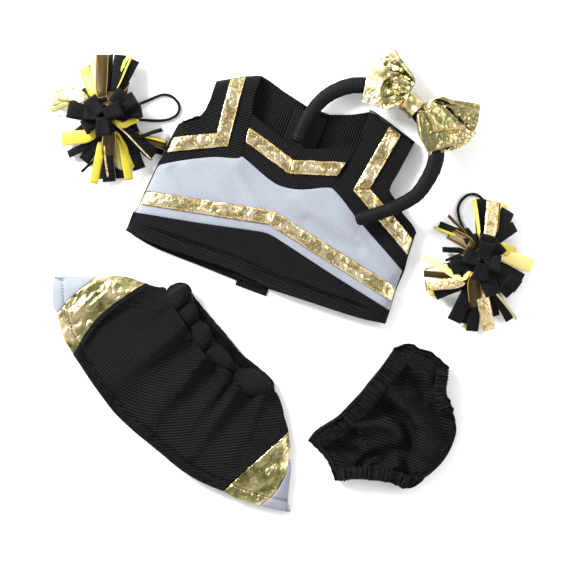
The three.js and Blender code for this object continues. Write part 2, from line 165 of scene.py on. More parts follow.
class Edge:
    """A drawn line through points in millimetres, smooth unless told otherwise, read by its share of length."""

    def __init__(self, *points, smooth=True, steps=6):
        keys = [Vector(p) for p in points]
        if smooth and len(keys) > 2:
            last = len(keys) - 1
            slopes = [(keys[min(i + 1, last)] - keys[max(i - 1, 0)]).normalized() for i in range(last + 1)]
            self.fine = []
            for i in range(last):
                reach = (keys[i + 1] - keys[i]).length / 3
                part = geometry.interpolate_bezier(
                    keys[i], keys[i] + slopes[i] * reach, keys[i + 1] - slopes[i + 1] * reach, keys[i + 1], steps + 1
                )
                self.fine += part if not self.fine else part[1:]
        else:
            self.fine = keys
        self.marks = [0.0]
        for a, b in zip(self.fine, self.fine[1:]):
            self.marks.append(self.marks[-1] + (b - a).length)
        self.length = self.marks[-1]

    def __call__(self, share):
        want = min(max(share, 0.0), 1.0) * self.length
        for i in range(1, len(self.marks)):
            if want <= self.marks[i] or i == len(self.marks) - 1:
                span = self.marks[i] - self.marks[i - 1] or 1
                return self.fine[i - 1].lerp(self.fine[i], min((want - self.marks[i - 1]) / span, 1))

    def heading(self, share):
        return (self(min(share + 0.004, 1)) - self(max(share - 0.004, 0))).normalized()

    def near(self, point):
        """Distance from a point to this line."""
        best = 1e9
        for a, b in zip(self.fine, self.fine[1:]):
            along = b - a
            t = min(max((point - a).dot(along) / max(along.length_squared, 1e-12), 0), 1)
            best = min(best, (point - a - along * t).length)
        return best


def panel(bottom, top, left=None, right=None):
    """A patch between two edges, bent at its sides to the other two."""

    def at(u, v):
        p = bottom(u).lerp(top(u), v)
        if left:
            p = p + (left(v) - bottom(0).lerp(top(0), v)) * (1 - u)
        if right:
            p = p + (right(v) - bottom(1).lerp(top(1), v)) * u
        return p

    return at


# ---- mesh -------------------------------------------------------------------


def lay(bm, across, along, place, grain_at=None, dense=False):
    """Adds a grid of faces and moves each point to place(u, v). The cloth's grain goes into the UV map, in metres."""
    layer = bm.loops.layers.uv.verify()
    made = bmesh.ops.create_grid(bm, x_segments=across, y_segments=along, size=0.5)["verts"]
    shares = {}
    for vert in made:
        u, v = vert.co.x + 0.5, vert.co.y + 0.5
        if dense:
            u, v = (mix(s, 0.5 - 0.5 * math.cos(math.pi * s), 0.6) for s in (u, v))
        shares[vert] = (u, v)
    for vert, (u, v) in shares.items():
        vert.co = place(u, v)
    for face in {f for v in made for f in v.link_faces}:
        for loop in face.loops:
            u, v = shares[loop.vert]
            loop[layer].uv = grain_at(u, v) if grain_at else (u, v)
    return shares


def shut(bm, verts, ends=True):
    """Welds a grid that has been rolled up, closes its open ends unless it is a ring, and faces it outwards."""
    bmesh.ops.remove_doubles(bm, verts=[v for v in verts if v.is_valid], dist=WELD)
    if ends:
        bmesh.ops.holes_fill(bm, edges=bm.edges[:], sides=0)
    outward(bm)


def outward(bm):
    bmesh.ops.recalc_face_normals(bm, faces=bm.faces[:])


def crumple(piece, pin_of, growth, frames, low, high, weight=1.0, stiff=8.0):
    """Lets a piece's cloth be a little larger than the outline that it is sewn to, so that it buckles into folds.
    It is simulated ten times as big, where the solver holds thin cloth steady, and the fold height is then limited."""
    mesh = piece.data
    scene = bpy.context.scene
    mesh.transform(Matrix.Scale(SOLVER_SCALE, 4))
    group = piece.vertex_groups.new(name="sewn")
    for index, vert in enumerate(mesh.vertices):
        group.add([index], pin_of[index], "REPLACE")
    cloth = piece.modifiers.new("slack", "CLOTH")
    knit_set = cloth.settings
    knit_set.vertex_group_mass = "sewn"
    knit_set.quality, knit_set.mass = 6, 0.3
    knit_set.shrink_min = -growth
    knit_set.tension_stiffness = knit_set.compression_stiffness = stiff
    knit_set.shear_stiffness = stiff * 0.4
    knit_set.bending_stiffness = 0.05
    knit_set.air_damping = 1.0
    knit_set.effector_weights.gravity = weight
    cloth.collision_settings.distance_min = 0.004
    cloth.collision_settings.use_self_collision = False
    ground = bpy.data.meshes.new("ground")
    bm = bmesh.new()
    bmesh.ops.create_grid(bm, x_segments=1, y_segments=1, size=6)
    bm.to_mesh(ground)
    bm.free()
    ground = bpy.data.objects.new("ground", ground)
    ground.location.z = low * MM * SOLVER_SCALE
    scene.collection.objects.link(ground)
    ground.modifiers.new("stop", "COLLISION")
    ground.collision.thickness_outer = 0.003
    cloth.point_cache.frame_start, cloth.point_cache.frame_end = 1, frames
    for step in range(1, frames + 1):
        scene.frame_set(step)
    graph = bpy.context.evaluated_depsgraph_get()
    settled = bpy.data.meshes.new_from_object(piece.evaluated_get(graph), depsgraph=graph)
    for vert, done in zip(mesh.vertices, settled.vertices):
        vert.co = done.co
    bpy.data.meshes.remove(settled)
    piece.modifiers.remove(cloth)
    bpy.data.objects.remove(ground)
    piece.vertex_groups.remove(group)
    mesh.transform(Matrix.Scale(1 / SOLVER_SCALE, 4))
    for vert in mesh.vertices:
        vert.co.z = min(max(vert.co.z, low * MM), high * MM)
    scene.frame_set(1)


# The record's slot that each finish takes, where it has another name.
SLOTS = {
    "bow_lame": "gold_lame", "inset_lame": "gold_lame", "gold_thread": "gold_lame", "black_thread": "black_knit",
    "wrap_grosgrain": "black_grosgrain", "black_ribbon": "black_grosgrain", "yellow_ribbon": "gold_ribbon",
    "cream_ribbon": "gold_ribbon", "bright_ribbon": "gold_ribbon", "olive_ribbon": "gold_ribbon",
    "sage_ribbon": "gold_ribbon", "elastic": "elastic_webbing", "tape": "hook_and_loop",
}


def made_piece(name, bm, finish, body, replaces=(), wall=0.0, offset=-1.0, slack=None, slot=None):
    """Turns a bmesh into a finished piece on its body."""
    mesh = bpy.data.meshes.new(name)
    bm.to_mesh(mesh)
    bm.free()
    for face in mesh.polygons:
        face.use_smooth = True
    piece = bpy.data.objects.new(name, mesh)
    bpy.context.scene.collection.objects.link(piece)
    mesh.materials.append(FINISHES[finish])
    if slack:
        crumple(piece, **slack)
    if wall:
        solid = piece.modifiers.new("thickness", "SOLIDIFY")
        solid.thickness, solid.offset = wall, offset
    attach(piece, body)
    slot or SLOTS.get(finish, finish)
    if replaces:
        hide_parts(*replaces)
    return piece


def declare_cloth(shape):
    """Samples the panel's shape on a grid and turns the points through angles from 0 to 85 degrees; nothing is worked
    out, kept or declared.
    """
    steps = range(25)
    points = [[shape(u / 24, v / 24) for u in steps] for v in steps]
    for degrees in range(0, 90, 5):
        turned = [Vector(p).to_2d() @ Matrix.Rotation(math.radians(degrees), 2) for row in points for p in row]
    for row, above in zip(points, points[1:]):
        for a, b, c, d in zip(row, row[1:], above[1:], above):
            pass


def held_all_round(u, v):
    """A panel is sewn down along its whole outline."""
    return 1.0 if min(u, 1 - u, v, 1 - v) < 0.025 else 0.0


def sewn(
    name, place, shape, rise, counts, finish, replaces=(), body=None, turn=0.0, wall=None, dip=0.7, seams="lrbt",
    slack=None, after=None, on=None,
):
    """A flat-cut panel laid over rise(x, y, u, v), sinking a little at its seams. turn is the angle of its ribs.
    Slack cloth is simulated and then half blended with its drawn loft, which keeps the large folds of after()."""
    bm = bmesh.new()
    wide = (shape(1, 0.5) - shape(0, 0.5)).length
    tall = (shape(0.5, 1) - shape(0.5, 0)).length

    def place_at(u, v):
        p = shape(u, v)
        far = {"l": u * wide, "r": (1 - u) * wide, "b": v * tall, "t": (1 - v) * tall}
        gaps = [far[side] for side in seams]
        sink = dip * math.exp(-min(gaps) / SEAM_REACH) if gaps else 0
        return place.at(p.x, p.y, rise(p.x, p.y, u, v) - sink)

    def grain_at(u, v):
        p = shape(u, v)
        angle = math.radians(turn(p.x) if callable(turn) else turn)
        return (
            (p.x * math.cos(angle) + p.y * math.sin(angle)) * MM,
            (p.y * math.cos(angle) - p.x * math.sin(angle)) * MM,
        )

    shares = lay(bm, counts[0], counts[1], place_at, grain_at, dense=True)
    bm.verts.index_update()
    shares = {vert.index: share for vert, share in shares.items()}
    if slack:
        slack = dict(slack, pin_of={index: held_all_round(*share) for index, share in shares.items()})
    piece = made_piece(name, bm, finish, body or place.body, replaces, wall or sizes().cloth, slack=slack)
    if after:
        for vert in piece.data.vertices:
            u, v = shares[vert.index]
            p = shape(u, v)
            loft = place_at(u, v).z
            vert.co.z = max(mix(loft, vert.co.z, SETTLED_SHARE) + after(p.x, p.y, u, v) * MM, LOWEST_FOLD * MM)
    if on:
        declare_cloth(shape)
    return piece


def tube(bm, centre, frame_of, radii, along, around):
    """A closed round or oval tube. centre(t) is its line, frame_of(t) its side and up, and radii(t, turn) its half
    width and height."""

    def at(u, v):
        turn = 2 * math.pi * u
        side, up = frame_of(v)
        wide, high = radii(v, turn)
        return centre(v) + side * (wide * math.cos(turn)) + up * (high * math.sin(turn))

    shut(bm, lay(bm, around, along, at, lambda u, v: (v, u)))


def overlock(name, place, line, radii, replaces=(), aside=0.0, level=3.4, finish="black_knit"):
    """A thick overlocked seam along a line, aside of it on its right. radii(t) are its half width and height, in mm."""
    bm = bmesh.new()

    def centre(t):
        p, way = line(t), line.heading(t)
        return place.at(p.x + way.y * aside, p.y - way.x * aside, level)

    def frame_of(t):
        way = line.heading(t)
        return (place.at(-way.y, way.x, 0) - place.at(0, 0, 0)).normalized(), Vector((0, 0, 1))

    tube(bm, centre, frame_of, lambda t, turn: [r * MM for r in radii(t)], 60, 12)
    made_piece(name, bm, finish, place.body, replaces)


def stitches(name, rows, finish, body):
    """Short round stitches along rows of points, one piece for all of them."""
    bm = bmesh.new()
    bm.loops.layers.uv.verify()
    part = sizes().pitch
    for row in rows:
        line = Edge(*row, smooth=False)
        count = max(int(line.length / part), 1)
        for i in range(count):
            middle = (i + 0.5) / count
            a = line(middle - sizes().stitch / line.length / 2)
            b = line(middle + sizes().stitch / line.length / 2)
            along = (b - a).normalized()
            side = along.cross(Vector((0, 0, 1))).normalized()
            turn = Matrix((along, side, along.cross(side))).transposed().to_4x4()
            shape = Matrix.Diagonal((sizes().stitch / 2, sizes().thread / 2, sizes().thread / 2, 1))
            bmesh.ops.create_uvsphere(
                bm, u_segments=6, v_segments=5, radius=1, matrix=Matrix.Translation((a + b) / 2) @ turn @ shape
            )
    outward(bm)
    made_piece(name, bm, finish, body)


def braid(name, points, cuts, rise):
    """Gold braid along straight runs with mitred corners, its ends cut along the seams they go into, and its two rows
    of stitches."""
    keys = [Vector(p) for p in points]
    ways = [(b - a).normalized() for a, b in zip(keys, keys[1:])]
    sides = [Vector((-w.y, w.x)) for w in ways]
    first, last = (Vector(cut).normalized() for cut in cuts)
    mitres = [first / first.dot(sides[0])]
    for a, b in zip(sides, sides[1:]):
        half = (a + b).normalized()
        mitres.append(half / half.dot(a))
    mitres.append(last / last.dot(sides[-1]))
    bm = bmesh.new()
    rows = [[], []]
    width = sizes().braid / MM

    def height(p, across, seed):
        pucker = 0.55 * grain(p.x * 0.3, p.y * 0.3, seed) - 0.5 * abs(grain(p.x * 0.42, p.y * 0.42, seed + 4))
        return rise(p.x, p.y) + 1.0 + (0.55 * (1 - abs(across) ** 3) + pucker * (1 - 0.6 * abs(across)))

    for i in range(len(ways)):
        length = (keys[i + 1] - keys[i]).length
        sink = lambda u: sum(
            0.8 * math.exp(-gap * length / 1.3)
            for gap, corner in ((u, i > 0), (1 - u, i < len(ways) - 1))
            if corner
        )

        def at(u, v, i=i):
            across = 2 * v - 1
            wave = 0.22 * grain(u * length * 0.5, across * 3, i + 8) * abs(across)
            p = keys[i].lerp(keys[i + 1], u) + mitres[i].lerp(mitres[i + 1], u) * (across * width / 2 + wave)
            return TOP.at(p.x, p.y, height(p, across, i) - sink(u))

        lay(bm, int(length / 0.9), 12, at, lambda u, v: (u * length * MM, v * width * MM))
        count = int(length / 1.2)
        for row, across in ((0, -0.82), (1, 0.82)):
            for k in range(count + 1):
                p = at(k / count, 0.5 + across / 2)
                rows[row].append(p + Vector((0, 0, 0.25 * MM)))
    bmesh.ops.remove_doubles(bm, verts=bm.verts[:], dist=0.05 * MM)
    made_piece(f"{name}_braid", bm, "gold_lame", "top", [f"top_{name}_trim"], sizes().foil)
    stitches(f"{name}_braid_stitches", rows, "gold_thread", "top")


# ---- materials --------------------------------------------------------------


def add(tree, kind, links=None, **settings):
    """Adds one shader node with its settings, and links or sets its sockets."""
    node = tree.nodes.new("ShaderNode" + kind)
    for key, value in settings.items():
        setattr(node, key, value)
    for socket, source in (links or {}).items():
        if isinstance(source, bpy.types.NodeSocket):
            tree.links.new(source, node.inputs[socket])
        else:
            node.inputs[socket].default_value = source
    return node


def rgba(value):
    return (*value, 1.0)


def ramp(tree, source, stops):
    """A colour ramp through (place, colour) stops, given in order."""
    node = add(tree, "ValToRGB", {"Fac": source})
    elements = node.color_ramp.elements
    elements.remove(elements[1])
    elements[0].position, elements[0].color = stops[0][0], rgba(stops[0][1])
    for place, value in stops[1:]:
        elements.new(place).color = rgba(value)
    return node.outputs["Color"]


def bands(period):
    """A Wave texture's scale for ribs that far apart, in millimetres."""
    return 2 * math.pi / (20 * period * MM)


def material(name, build, **shader):
    """A material whose build(tree) gives its colour, its relief and the relief's depth in mm. The rest are sockets."""
    made = bpy.data.materials.new(name)
    made.use_nodes = True
    tree = made.node_tree
    tree.nodes.clear()
    face = add(
        tree, "BsdfPrincipled", {k.replace("_", " ").title().replace("Ior", "IOR"): v for k, v in shader.items()},
    )
    look, relief, depth = build(tree)
    tree.links.new(look, face.inputs["Base Color"])
    shape = add(tree, "Bump", {"Height": relief, "Distance": depth * MM, "Strength": 1.0})
    tree.links.new(shape.outputs["Normal"], face.inputs["Normal"])
    add(tree, "OutputMaterial", {"Surface": face.outputs["BSDF"]})
    return made


def knit(crown, hollow, period, depth, twill=0.0):
    """Rib knit or twill: fine parallel ribs, coloured with painted shade in their hollows and a painted highlight on
    their crowns, and a soft cloudiness where the pile lies differently.
    """

    def build(tree):
        place = add(tree, "UVMap").outputs["UV"]
        turned = add(tree, "Mapping", {"Vector": place, "Rotation": (0, 0, math.radians(twill))}).outputs["Vector"]
        ribs = add(
            tree, "TexWave",
            {"Vector": turned, "Scale": bands(period), "Distortion": 0.7, "Detail": 1, "Detail Scale": 3},
            bands_direction="Y",
        ).outputs["Fac"]
        loops = add(
            tree, "TexWave", {"Vector": turned, "Scale": bands(0.8), "Distortion": 0.4}, bands_direction="X"
        ).outputs["Fac"]
        cloud = add(tree, "TexNoise", {"Vector": place, "Scale": 70, "Detail": 4}).outputs["Fac"]
        fuzz = add(tree, "TexNoise", {"Vector": place, "Scale": 1400, "Detail": 2}).outputs["Fac"]
        pile = add(tree, "Math", {0: ribs, 1: 0.6}, operation="MULTIPLY").outputs[0]
        soft = add(tree, "Math", {0: cloud, 1: 0.5, 2: pile}, operation="MULTIPLY_ADD").outputs[0]
        tone = add(tree, "Math", {0: fuzz, 1: 0.25, 2: soft}, operation="MULTIPLY_ADD").outputs[0]
        # The ribs move the colour towards hollow in their hollows and towards crown on their crowns: painted shade and
        # painted highlight. The cloud and the fuzz are random tone.
        look = ramp(tree, tone, [(0.3, hollow), (0.95, crown)])
        relief = add(tree, "Math", {0: loops, 1: 0.3, 2: ribs}, operation="MULTIPLY_ADD").outputs[0]
        return look, relief, depth

    return build


def lame(crumple, fine, depth, stops):
    """Foil-coated lame: a metal film on cloth that crumples into facets, over a fine weave, coloured from the same
    relief as its bump: a painted highlight on the crests, painted shade and painted warm reflection in the hollows."""

    def build(tree):
        place = add(tree, "TexCoord").outputs["Object"]
        broad = add(
            tree, "TexNoise", {"Vector": place, "Scale": 1 / (crumple * 3.0 * MM), "Detail": 1, "Distortion": 0.6},
        ).outputs["Fac"]
        facets = add(
            tree, "TexNoise",
            {"Vector": place, "Scale": 1 / (crumple * MM), "Detail": 2, "Roughness": 0.4, "Distortion": 0.4},
        ).outputs["Fac"]
        weave = add(tree, "TexVoronoi", {"Vector": place, "Scale": 1 / (fine * MM)}).outputs["Distance"]
        shape = add(tree, "Math", {0: broad, 1: 1.6, 2: facets}, operation="MULTIPLY_ADD").outputs[0]
        level = add(tree, "Math", {0: shape, 1: 1 / 2.6}, operation="MULTIPLY").outputs[0]
        tone = add(tree, "Math", {0: weave, 1: 0.05, 2: level}, operation="MULTIPLY_ADD").outputs[0]
        # The stops put a painted highlight high in the relief and painted shade and warm reflection low in it.
        look = ramp(tree, tone, stops)
        relief = add(tree, "Math", {0: weave, 1: 0.05, 2: shape}, operation="MULTIPLY_ADD").outputs[0]
        return look, relief, depth

    return build


def ribbon_weave(crown, hollow, period, depth):
    """Grosgrain: heavy weft ribs straight across the ribbon, with painted shade in their hollows and a painted
    highlight on their crowns.
    """

    def build(tree):
        place = add(tree, "UVMap").outputs["UV"]
        ribs = add(
            tree, "TexWave", {"Vector": place, "Scale": bands(period), "Distortion": 0.25}, bands_direction="X",
        ).outputs["Fac"]
        warp = add(tree, "TexNoise", {"Vector": place, "Scale": 900, "Detail": 2}).outputs["Fac"]
        tone = add(
            tree, "Math",
            {0: warp, 1: 0.45, 2: add(tree, "Math", {0: ribs, 1: 0.6}, operation="MULTIPLY").outputs[0]},
            operation="MULTIPLY_ADD",
        ).outputs[0]
        # The ramp darkens the rib hollows towards hollow and lightens the crowns towards crown: painted shade and
        # painted highlight. The warp noise is random tone.
        return ramp(tree, tone, [(0.15, hollow), (0.95, crown)]), ribs, depth

    return build


def fibres(low, high, grain_size, depth):
    """Short fibres lying every way, as on thread, felted tape and brushed webbing."""

    def build(tree):
        place = add(tree, "TexCoord").outputs["Object"]
        strands = add(
            tree, "TexNoise", {"Vector": place, "Scale": 1 / (grain_size * MM), "Detail": 4, "Roughness": 0.7},
        ).outputs["Fac"]
        hooks = add(tree, "TexVoronoi", {"Vector": place, "Scale": 0.6 / (grain_size * MM)}).outputs["Distance"]
        tone = add(tree, "Math", {0: hooks, 1: 0.4, 2: strands}, operation="MULTIPLY_ADD").outputs[0]
        return ramp(tree, tone, [(0.3, low), (0.85, high)]), tone, depth

    return build


FINISHES = {}


def make_finishes():
    c = bpy.context.scene.uniform_colours
    black, rib = c.black, c.black_rib
    # Polyester rib knit, brushed lightly: soft parallel ribs 1.8 mm apart with hardly any shine.
    FINISHES["black_knit"] = material(
        "black_polyester_knit", knit(rib, black, 1.8, 0.6), roughness=0.62, specular_ior_level=0.1,
    )
    # The same yarn in white, knitted finer: its ribs are 0.7 mm apart, drawn at 1 mm to show.
    FINISHES["white_knit"] = material(
        "white_polyester_knit", knit(c.white, c.white_shade, 1.0, 0.12, 40), roughness=0.8, specular_ior_level=0.2,
    )
    # The stops below run from the relief's hollows to its crests: gold low down is painted warm reflection, pale high
    # up a painted highlight.
    tan = [(a + b) / 2 for a, b in zip(c.gold, c.pale)]
    foil_stops = [(0.3, c.gold), (0.4, tan), (0.46, c.sage), (0.51, tan), (0.58, c.pale), (0.7, c.pale)]
    smooth_stops = [(0.3, c.gold), (0.42, tan), (0.48, c.sage), (0.54, c.sage), (0.6, tan), (0.7, c.pale)]
    # The two lowest colours of the inset stops, brown and brown mixed with sage, are painted shade in the facets'
    # hollows.
    brown_sage_shade = [(a + b) / 2 for a, b in zip(c.brown, c.sage)]
    crease_shade_stops = [(0.31, c.brown), (0.42, brown_sage_shade), (0.49, c.sage), (0.53, c.sage), (0.6, tan), (0.7, c.pale)]
    # Foil-coated lame: its film crumples into facets 3.4 mm across, so it breaks up into bright, sage and dark gold
    # flecks: a painted highlight on the crests and painted warm reflection in the hollows.
    FINISHES["gold_lame"] = material("gold_foil_lame", lame(3.4, 0.5, 0.9, foil_stops), metallic=1.0, roughness=0.26)
    # The same lame pulled smooth in the bow, its facets 8 mm across, where the folds are in the cloth itself; its
    # colour paints the same highlight on the crests and warm reflection in the hollows.
    FINISHES["bow_lame"] = material(
        "smooth_foil_lame", lame(8.0, 0.5, 1.1, smooth_stops), metallic=1.0, roughness=0.27,
    )
    # The same lame in the skirt's insets, in facets 6 mm across, with brown painted shade in the hollows of its facets.
    FINISHES["inset_lame"] = material(
        "shaded_foil_lame", lame(6.0, 0.5, 1.3, crease_shade_stops), metallic=1.0, roughness=0.25,
    )
    # Spun polyester sewing thread: silky on the braid, dull in black. Its fibres are drawn 0.5 mm across to show.
    FINISHES["gold_thread"] = material("gold_polyester_thread", fibres(c.gold, c.thread, 0.5, 0.05), roughness=0.5)
    FINISHES["black_thread"] = material(
        "black_polyester_thread", fibres(black, rib, 0.5, 0.05), roughness=0.65, specular_ior_level=0.1,
    )
    # Grosgrain ribbon wound round the hoop, ribs 1.7 mm apart.
    FINISHES["wrap_grosgrain"] = material(
        "black_grosgrain_wrap", ribbon_weave(rib, black, 1.7, 0.3), roughness=0.6, specular_ior_level=0.12,
    )
    # Grosgrain pom-pom ribbon, ribs 0.9 mm apart, drawn at 1.3 mm to show.
    FINISHES["black_ribbon"] = material(
        "black_grosgrain_ribbon", ribbon_weave(rib, black, 1.3, 0.3), roughness=0.6, specular_ior_level=0.1,
    )
    # The satin's darker colour, 0.86 of its yellow, is painted shade in the hollows between its cross threads.
    yellow_low = [v * 0.86 for v in c.yellow]
    # Acetate satin: smooth with a long soft gloss. Its cross threads are drawn 0.8 mm apart to show.
    FINISHES["yellow_ribbon"] = material(
        "yellow_satin_ribbon", ribbon_weave(c.yellow, yellow_low, 0.8, 0.04), roughness=0.42,
    )
    # The same satin in cream.
    # Its darker colour, 0.9 of the cream, is painted shade between its cross threads.
    FINISHES["cream_ribbon"] = material(
        "cream_satin_ribbon", ribbon_weave(c.cream, [v * 0.9 for v in c.cream], 0.8, 0.04), roughness=0.42,
    )
    # Metallised ribbon, bright and finely pebbled, 1.4 mm from one pebble to the next.
    FINISHES["bright_ribbon"] = material(
        "bright_foil_ribbon", lame(1.4, 0.4, 0.4, [(0.4, c.gold), (0.47, tan), (0.53, c.pale), (0.6, tan)]),
        metallic=1.0, roughness=0.32,
    )
    olive = [v * 0.35 for v in c.brown]
    # Metallised ribbon seen from its dull side, brown-black or sage, with ribs 0.9 mm apart, gold woven edges and a
    # painted sheen along its middle.
    FINISHES["olive_ribbon"] = material("olive_foil_ribbon", selvedge(olive, c.gold), metallic=0.6, roughness=0.4)
    FINISHES["sage_ribbon"] = material("sage_foil_ribbon", selvedge(c.sage, c.gold), metallic=0.7, roughness=0.45)
    # Braided elastic: dull, with a fine crossed texture, 0.7 mm from strand to strand.
    FINISHES["elastic_cord"] = material(
        "braided_elastic_cord", fibres(black, rib, 0.7, 0.1), roughness=0.75, specular_ior_level=0.12,
    )
    # Woven elastic webbing: dull, with cross ribs 1.2 mm apart.
    FINISHES["elastic"] = material(
        "woven_elastic_webbing", ribbon_weave([v * 0.4 for v in rib], black, 1.2, 0.2), roughness=0.8,
        specular_ior_level=0.05,
    )
    # Hook-and-loop tape: a rough mat of stubby nylon, its tufts drawn 0.9 mm across to show.
    FINISHES["tape"] = material(
        "nylon_hook_and_loop", fibres(black, rib, 0.9, 0.5), roughness=0.9, specular_ior_level=0.2,
    )
    # Sprung steel strip, dulled by its lacquer, with a grain of 0.4 mm.
    FINISHES["hoop_core"] = material(
        "lacquered_spring_steel", fibres([v * 1.5 for v in rib], [v * 3 for v in rib], 0.4, 0.02), metallic=0.9,
        roughness=0.4,
    )


def selvedge(middle, edge):
    """A ribbon whose two edges are woven in a brighter thread, with a painted sheen along its middle. Its UV map runs
    across it from 0 to its width.
    """

    def build(tree):
        place = add(tree, "UVMap").outputs["UV"]
        across = add(tree, "SeparateXYZ", {"Vector": place}).outputs["Y"]
        off = add(
            tree, "Math", {0: add(tree, "Math", {0: across, 1: 0.5}, operation="SUBTRACT").outputs[0]},
            operation="ABSOLUTE",
        ).outputs[0]
        ribs = add(tree, "TexWave", {"Vector": place, "Scale": bands(0.9)}, bands_direction="X").outputs["Fac"]
        haze = add(tree, "TexNoise", {"Vector": place, "Scale": 260, "Detail": 3}).outputs["Fac"]
        tone = add(tree, "Math", {0: haze, 1: 0.05, 2: off}, operation="MULTIPLY_ADD").outputs[0]
        # The colour is lifted to 1.6 times along the ribbon's middle, where it is cupped highest: a painted sheen.
        look = ramp(tree, tone, [(0.0, [v * 1.6 for v in middle]), (0.3, middle), (0.46, middle), (0.475, edge)])
        return look, ribs, 0.06

    return build


# ---- the stage --------------------------------------------------------------


class PieceOperator:
    bl_options = {"REGISTER", "UNDO"}


class UNIFORM_OT_stage(PieceOperator, bpy.types.Operator):
    """Camera straight above, pale floor, soft light from one side"""

    bl_idname = "uniform.stage"
    bl_label = "Stage"

    def execute(self, context):
        scene = context.scene
        lens = bpy.data.cameras.new("camera")
        lens.lens, lens.sensor_width = 85, 36
        lens.dof.use_dof = False
        camera = bpy.data.objects.new("camera", lens)
        middle = TABLE.at(0, 0, 10)
        camera.location = middle + Vector((0, 0, VIEW_WIDTH * lens.lens / lens.sensor_width))
        scene.collection.objects.link(camera)
        scene.camera = camera
        scene.view_settings.view_transform = "Standard"

        bm = bmesh.new()
        bmesh.ops.create_grid(bm, x_segments=1, y_segments=1, size=3)
        mesh = bpy.data.meshes.new("floor")
        bm.to_mesh(mesh)
        bm.free()
        floor = bpy.data.objects.new("floor", mesh)
        floor.location.z = -0.0002
        scene.collection.objects.link(floor)
        # Matt white board: the faintest mottling keeps it from looking empty.
        made = bpy.data.materials.new("matt_white_board")
        made.use_nodes = True
        tree = made.node_tree
        tree.nodes.clear()
        place = add(tree, "TexCoord").outputs["Object"]
        mottle = add(tree, "TexNoise", {"Vector": place, "Scale": 40}).outputs["Fac"]
        look = ramp(tree, mottle, [(0.3, (0.93, 0.93, 0.93)), (0.7, (0.95, 0.95, 0.95))])
        face = add(tree, "BsdfPrincipled", {"Base Color": look, "Roughness": 0.9})
        add(tree, "OutputMaterial", {"Surface": face.outputs["BSDF"]})
        mesh.materials.append(made)

        world = bpy.data.worlds.new("studio")
        scene.world = world
        world.use_nodes = True
        tree = world.node_tree
        tree.nodes.clear()
        # A tent of soft boxes with dark gaps between them, which is what foil needs to look like foil.
        way = add(tree, "TexCoord").outputs["Generated"]
        boxes = add(
            tree, "TexWave", {
                "Vector": way, "Scale": 0.9, "Distortion": 2.2, "Detail": 1, "Detail Scale": 1.5, "Phase Offset": 1.1,
            },
            bands_direction="DIAGONAL",
        ).outputs["Fac"]
        height = add(tree, "SeparateXYZ", {"Vector": way}).outputs["Z"]
        lower = add(tree, "Math", {0: height, 1: -0.8, 2: 0.8}, operation="MULTIPLY_ADD").outputs[0]
        glow = add(tree, "Math", {0: boxes, 1: 0.62, 2: lower}, operation="MULTIPLY_ADD").outputs[0]
        sky = ramp(
            tree, glow,
            [(0.0, (0.1,) * 3), (0.22, (0.32,) * 3), (0.42, (0.75,) * 3), (0.6, (1.7,) * 3), (0.85, (2.1,) * 3)],
        )
        back = add(tree, "Background", {"Color": sky, "Strength": 0.7})
        add(tree, "OutputWorld", {"Surface": back.outputs["Background"]})
        for name, spot, edge, power in (
            ("key_light", (-0.8, 0.66, 0.62), 0.35, 30.0),
            ("fill_light", (0.85, 0.1, 0.7), 0.6, 4.0),
        ):
            lamp = bpy.data.lights.new(name, "AREA")
            lamp.size, lamp.energy = edge, power
            light = bpy.data.objects.new(name, lamp)
            light.location = spot
            light.rotation_euler = (-Vector(spot)).to_track_quat("-Z", "Y").to_euler()
            scene.collection.objects.link(light)
        return {"FINISHED"}


# ---- hand loops -------------------------------------------------------------

LEFT_LOOP = [
    (6.7, 3.2, 6), (9.6, 4.6, 5.6), (13, 6.2, 4.6), (17, 8, 3.4), (21, 9.8, 2.8), (25.5, 11.8, 2), (30, 13.8, 1.2),
    (35, 16, 1.1), (40, 17.6, 1.1), (45, 16.8, 1.1), (49, 13.6, 1.1), (51.2, 9.4, 1.1), (50.4, 4.8, 1.1),
    (46.6, 1.4, 1.1), (41, -0.4, 1.1), (35, -0.8, 1.2), (29, -0.6, 1.6), (24, -0.4, 2.5), (19, -0.3, 3.2),
    (14, -0.2, 4.4), (10.6, -0.1, 5.4), (7.4, 0, 6),
]
RIGHT_LOOP = [
    (-2.4, 7, 6), (-3.6, 10, 5.4), (-5.2, 13.6, 4.4), (-7.2, 17.4, 3.4), (-9.2, 21, 2.9), (-11, 24.6, 2.2),
    (-12.6, 28.6, 1.3), (-13.8, 33, 1.1), (-14.2, 37.4, 1.1), (-13, 41.8, 1.1), (-10, 45.6, 1.1), (-5.6, 48, 1.1),
    (-1, 47.6, 1.1), (2.8, 44.6, 1.1), (4.6, 40, 1.1), (5, 35, 1.1), (4.8, 30, 1.3), (4.2, 25.4, 2.2), (3.4, 21, 2.9),
    (2.6, 17, 3.4), (1.9, 13, 4.6), (1.4, 10, 5.4), (1, 7.4, 6),
]


def hand_loop(place, points):
    """Elastic cord from the pom-pom's tie, out along the table and back."""
    name = f"{place.body}_hand_loop"
    curve = bpy.data.curves.new(f"{name}_cord", "CURVE")
    curve.dimensions = "3D"
    curve.bevel_depth = sizes().cord / 2
    curve.bevel_resolution = 3
    curve.resolution_u = 6
    curve.use_fill_caps = True
    line = curve.splines.new("BEZIER")
    line.bezier_points.add(len(points) - 1)
    route = [place.at(*p) for p in points]
    for knot, p in zip(line.bezier_points, route):
        knot.co = p
        knot.handle_left_type = knot.handle_right_type = "AUTO"
    curve.materials.append(FINISHES["elastic_cord"])
    cord = bpy.data.objects.new(f"{name}_cord", curve)
    bpy.context.scene.collection.objects.link(cord)
    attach(cord, place.body)
    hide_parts(name)
    tuple(route[0])
    Edge(*route, smooth=True).length


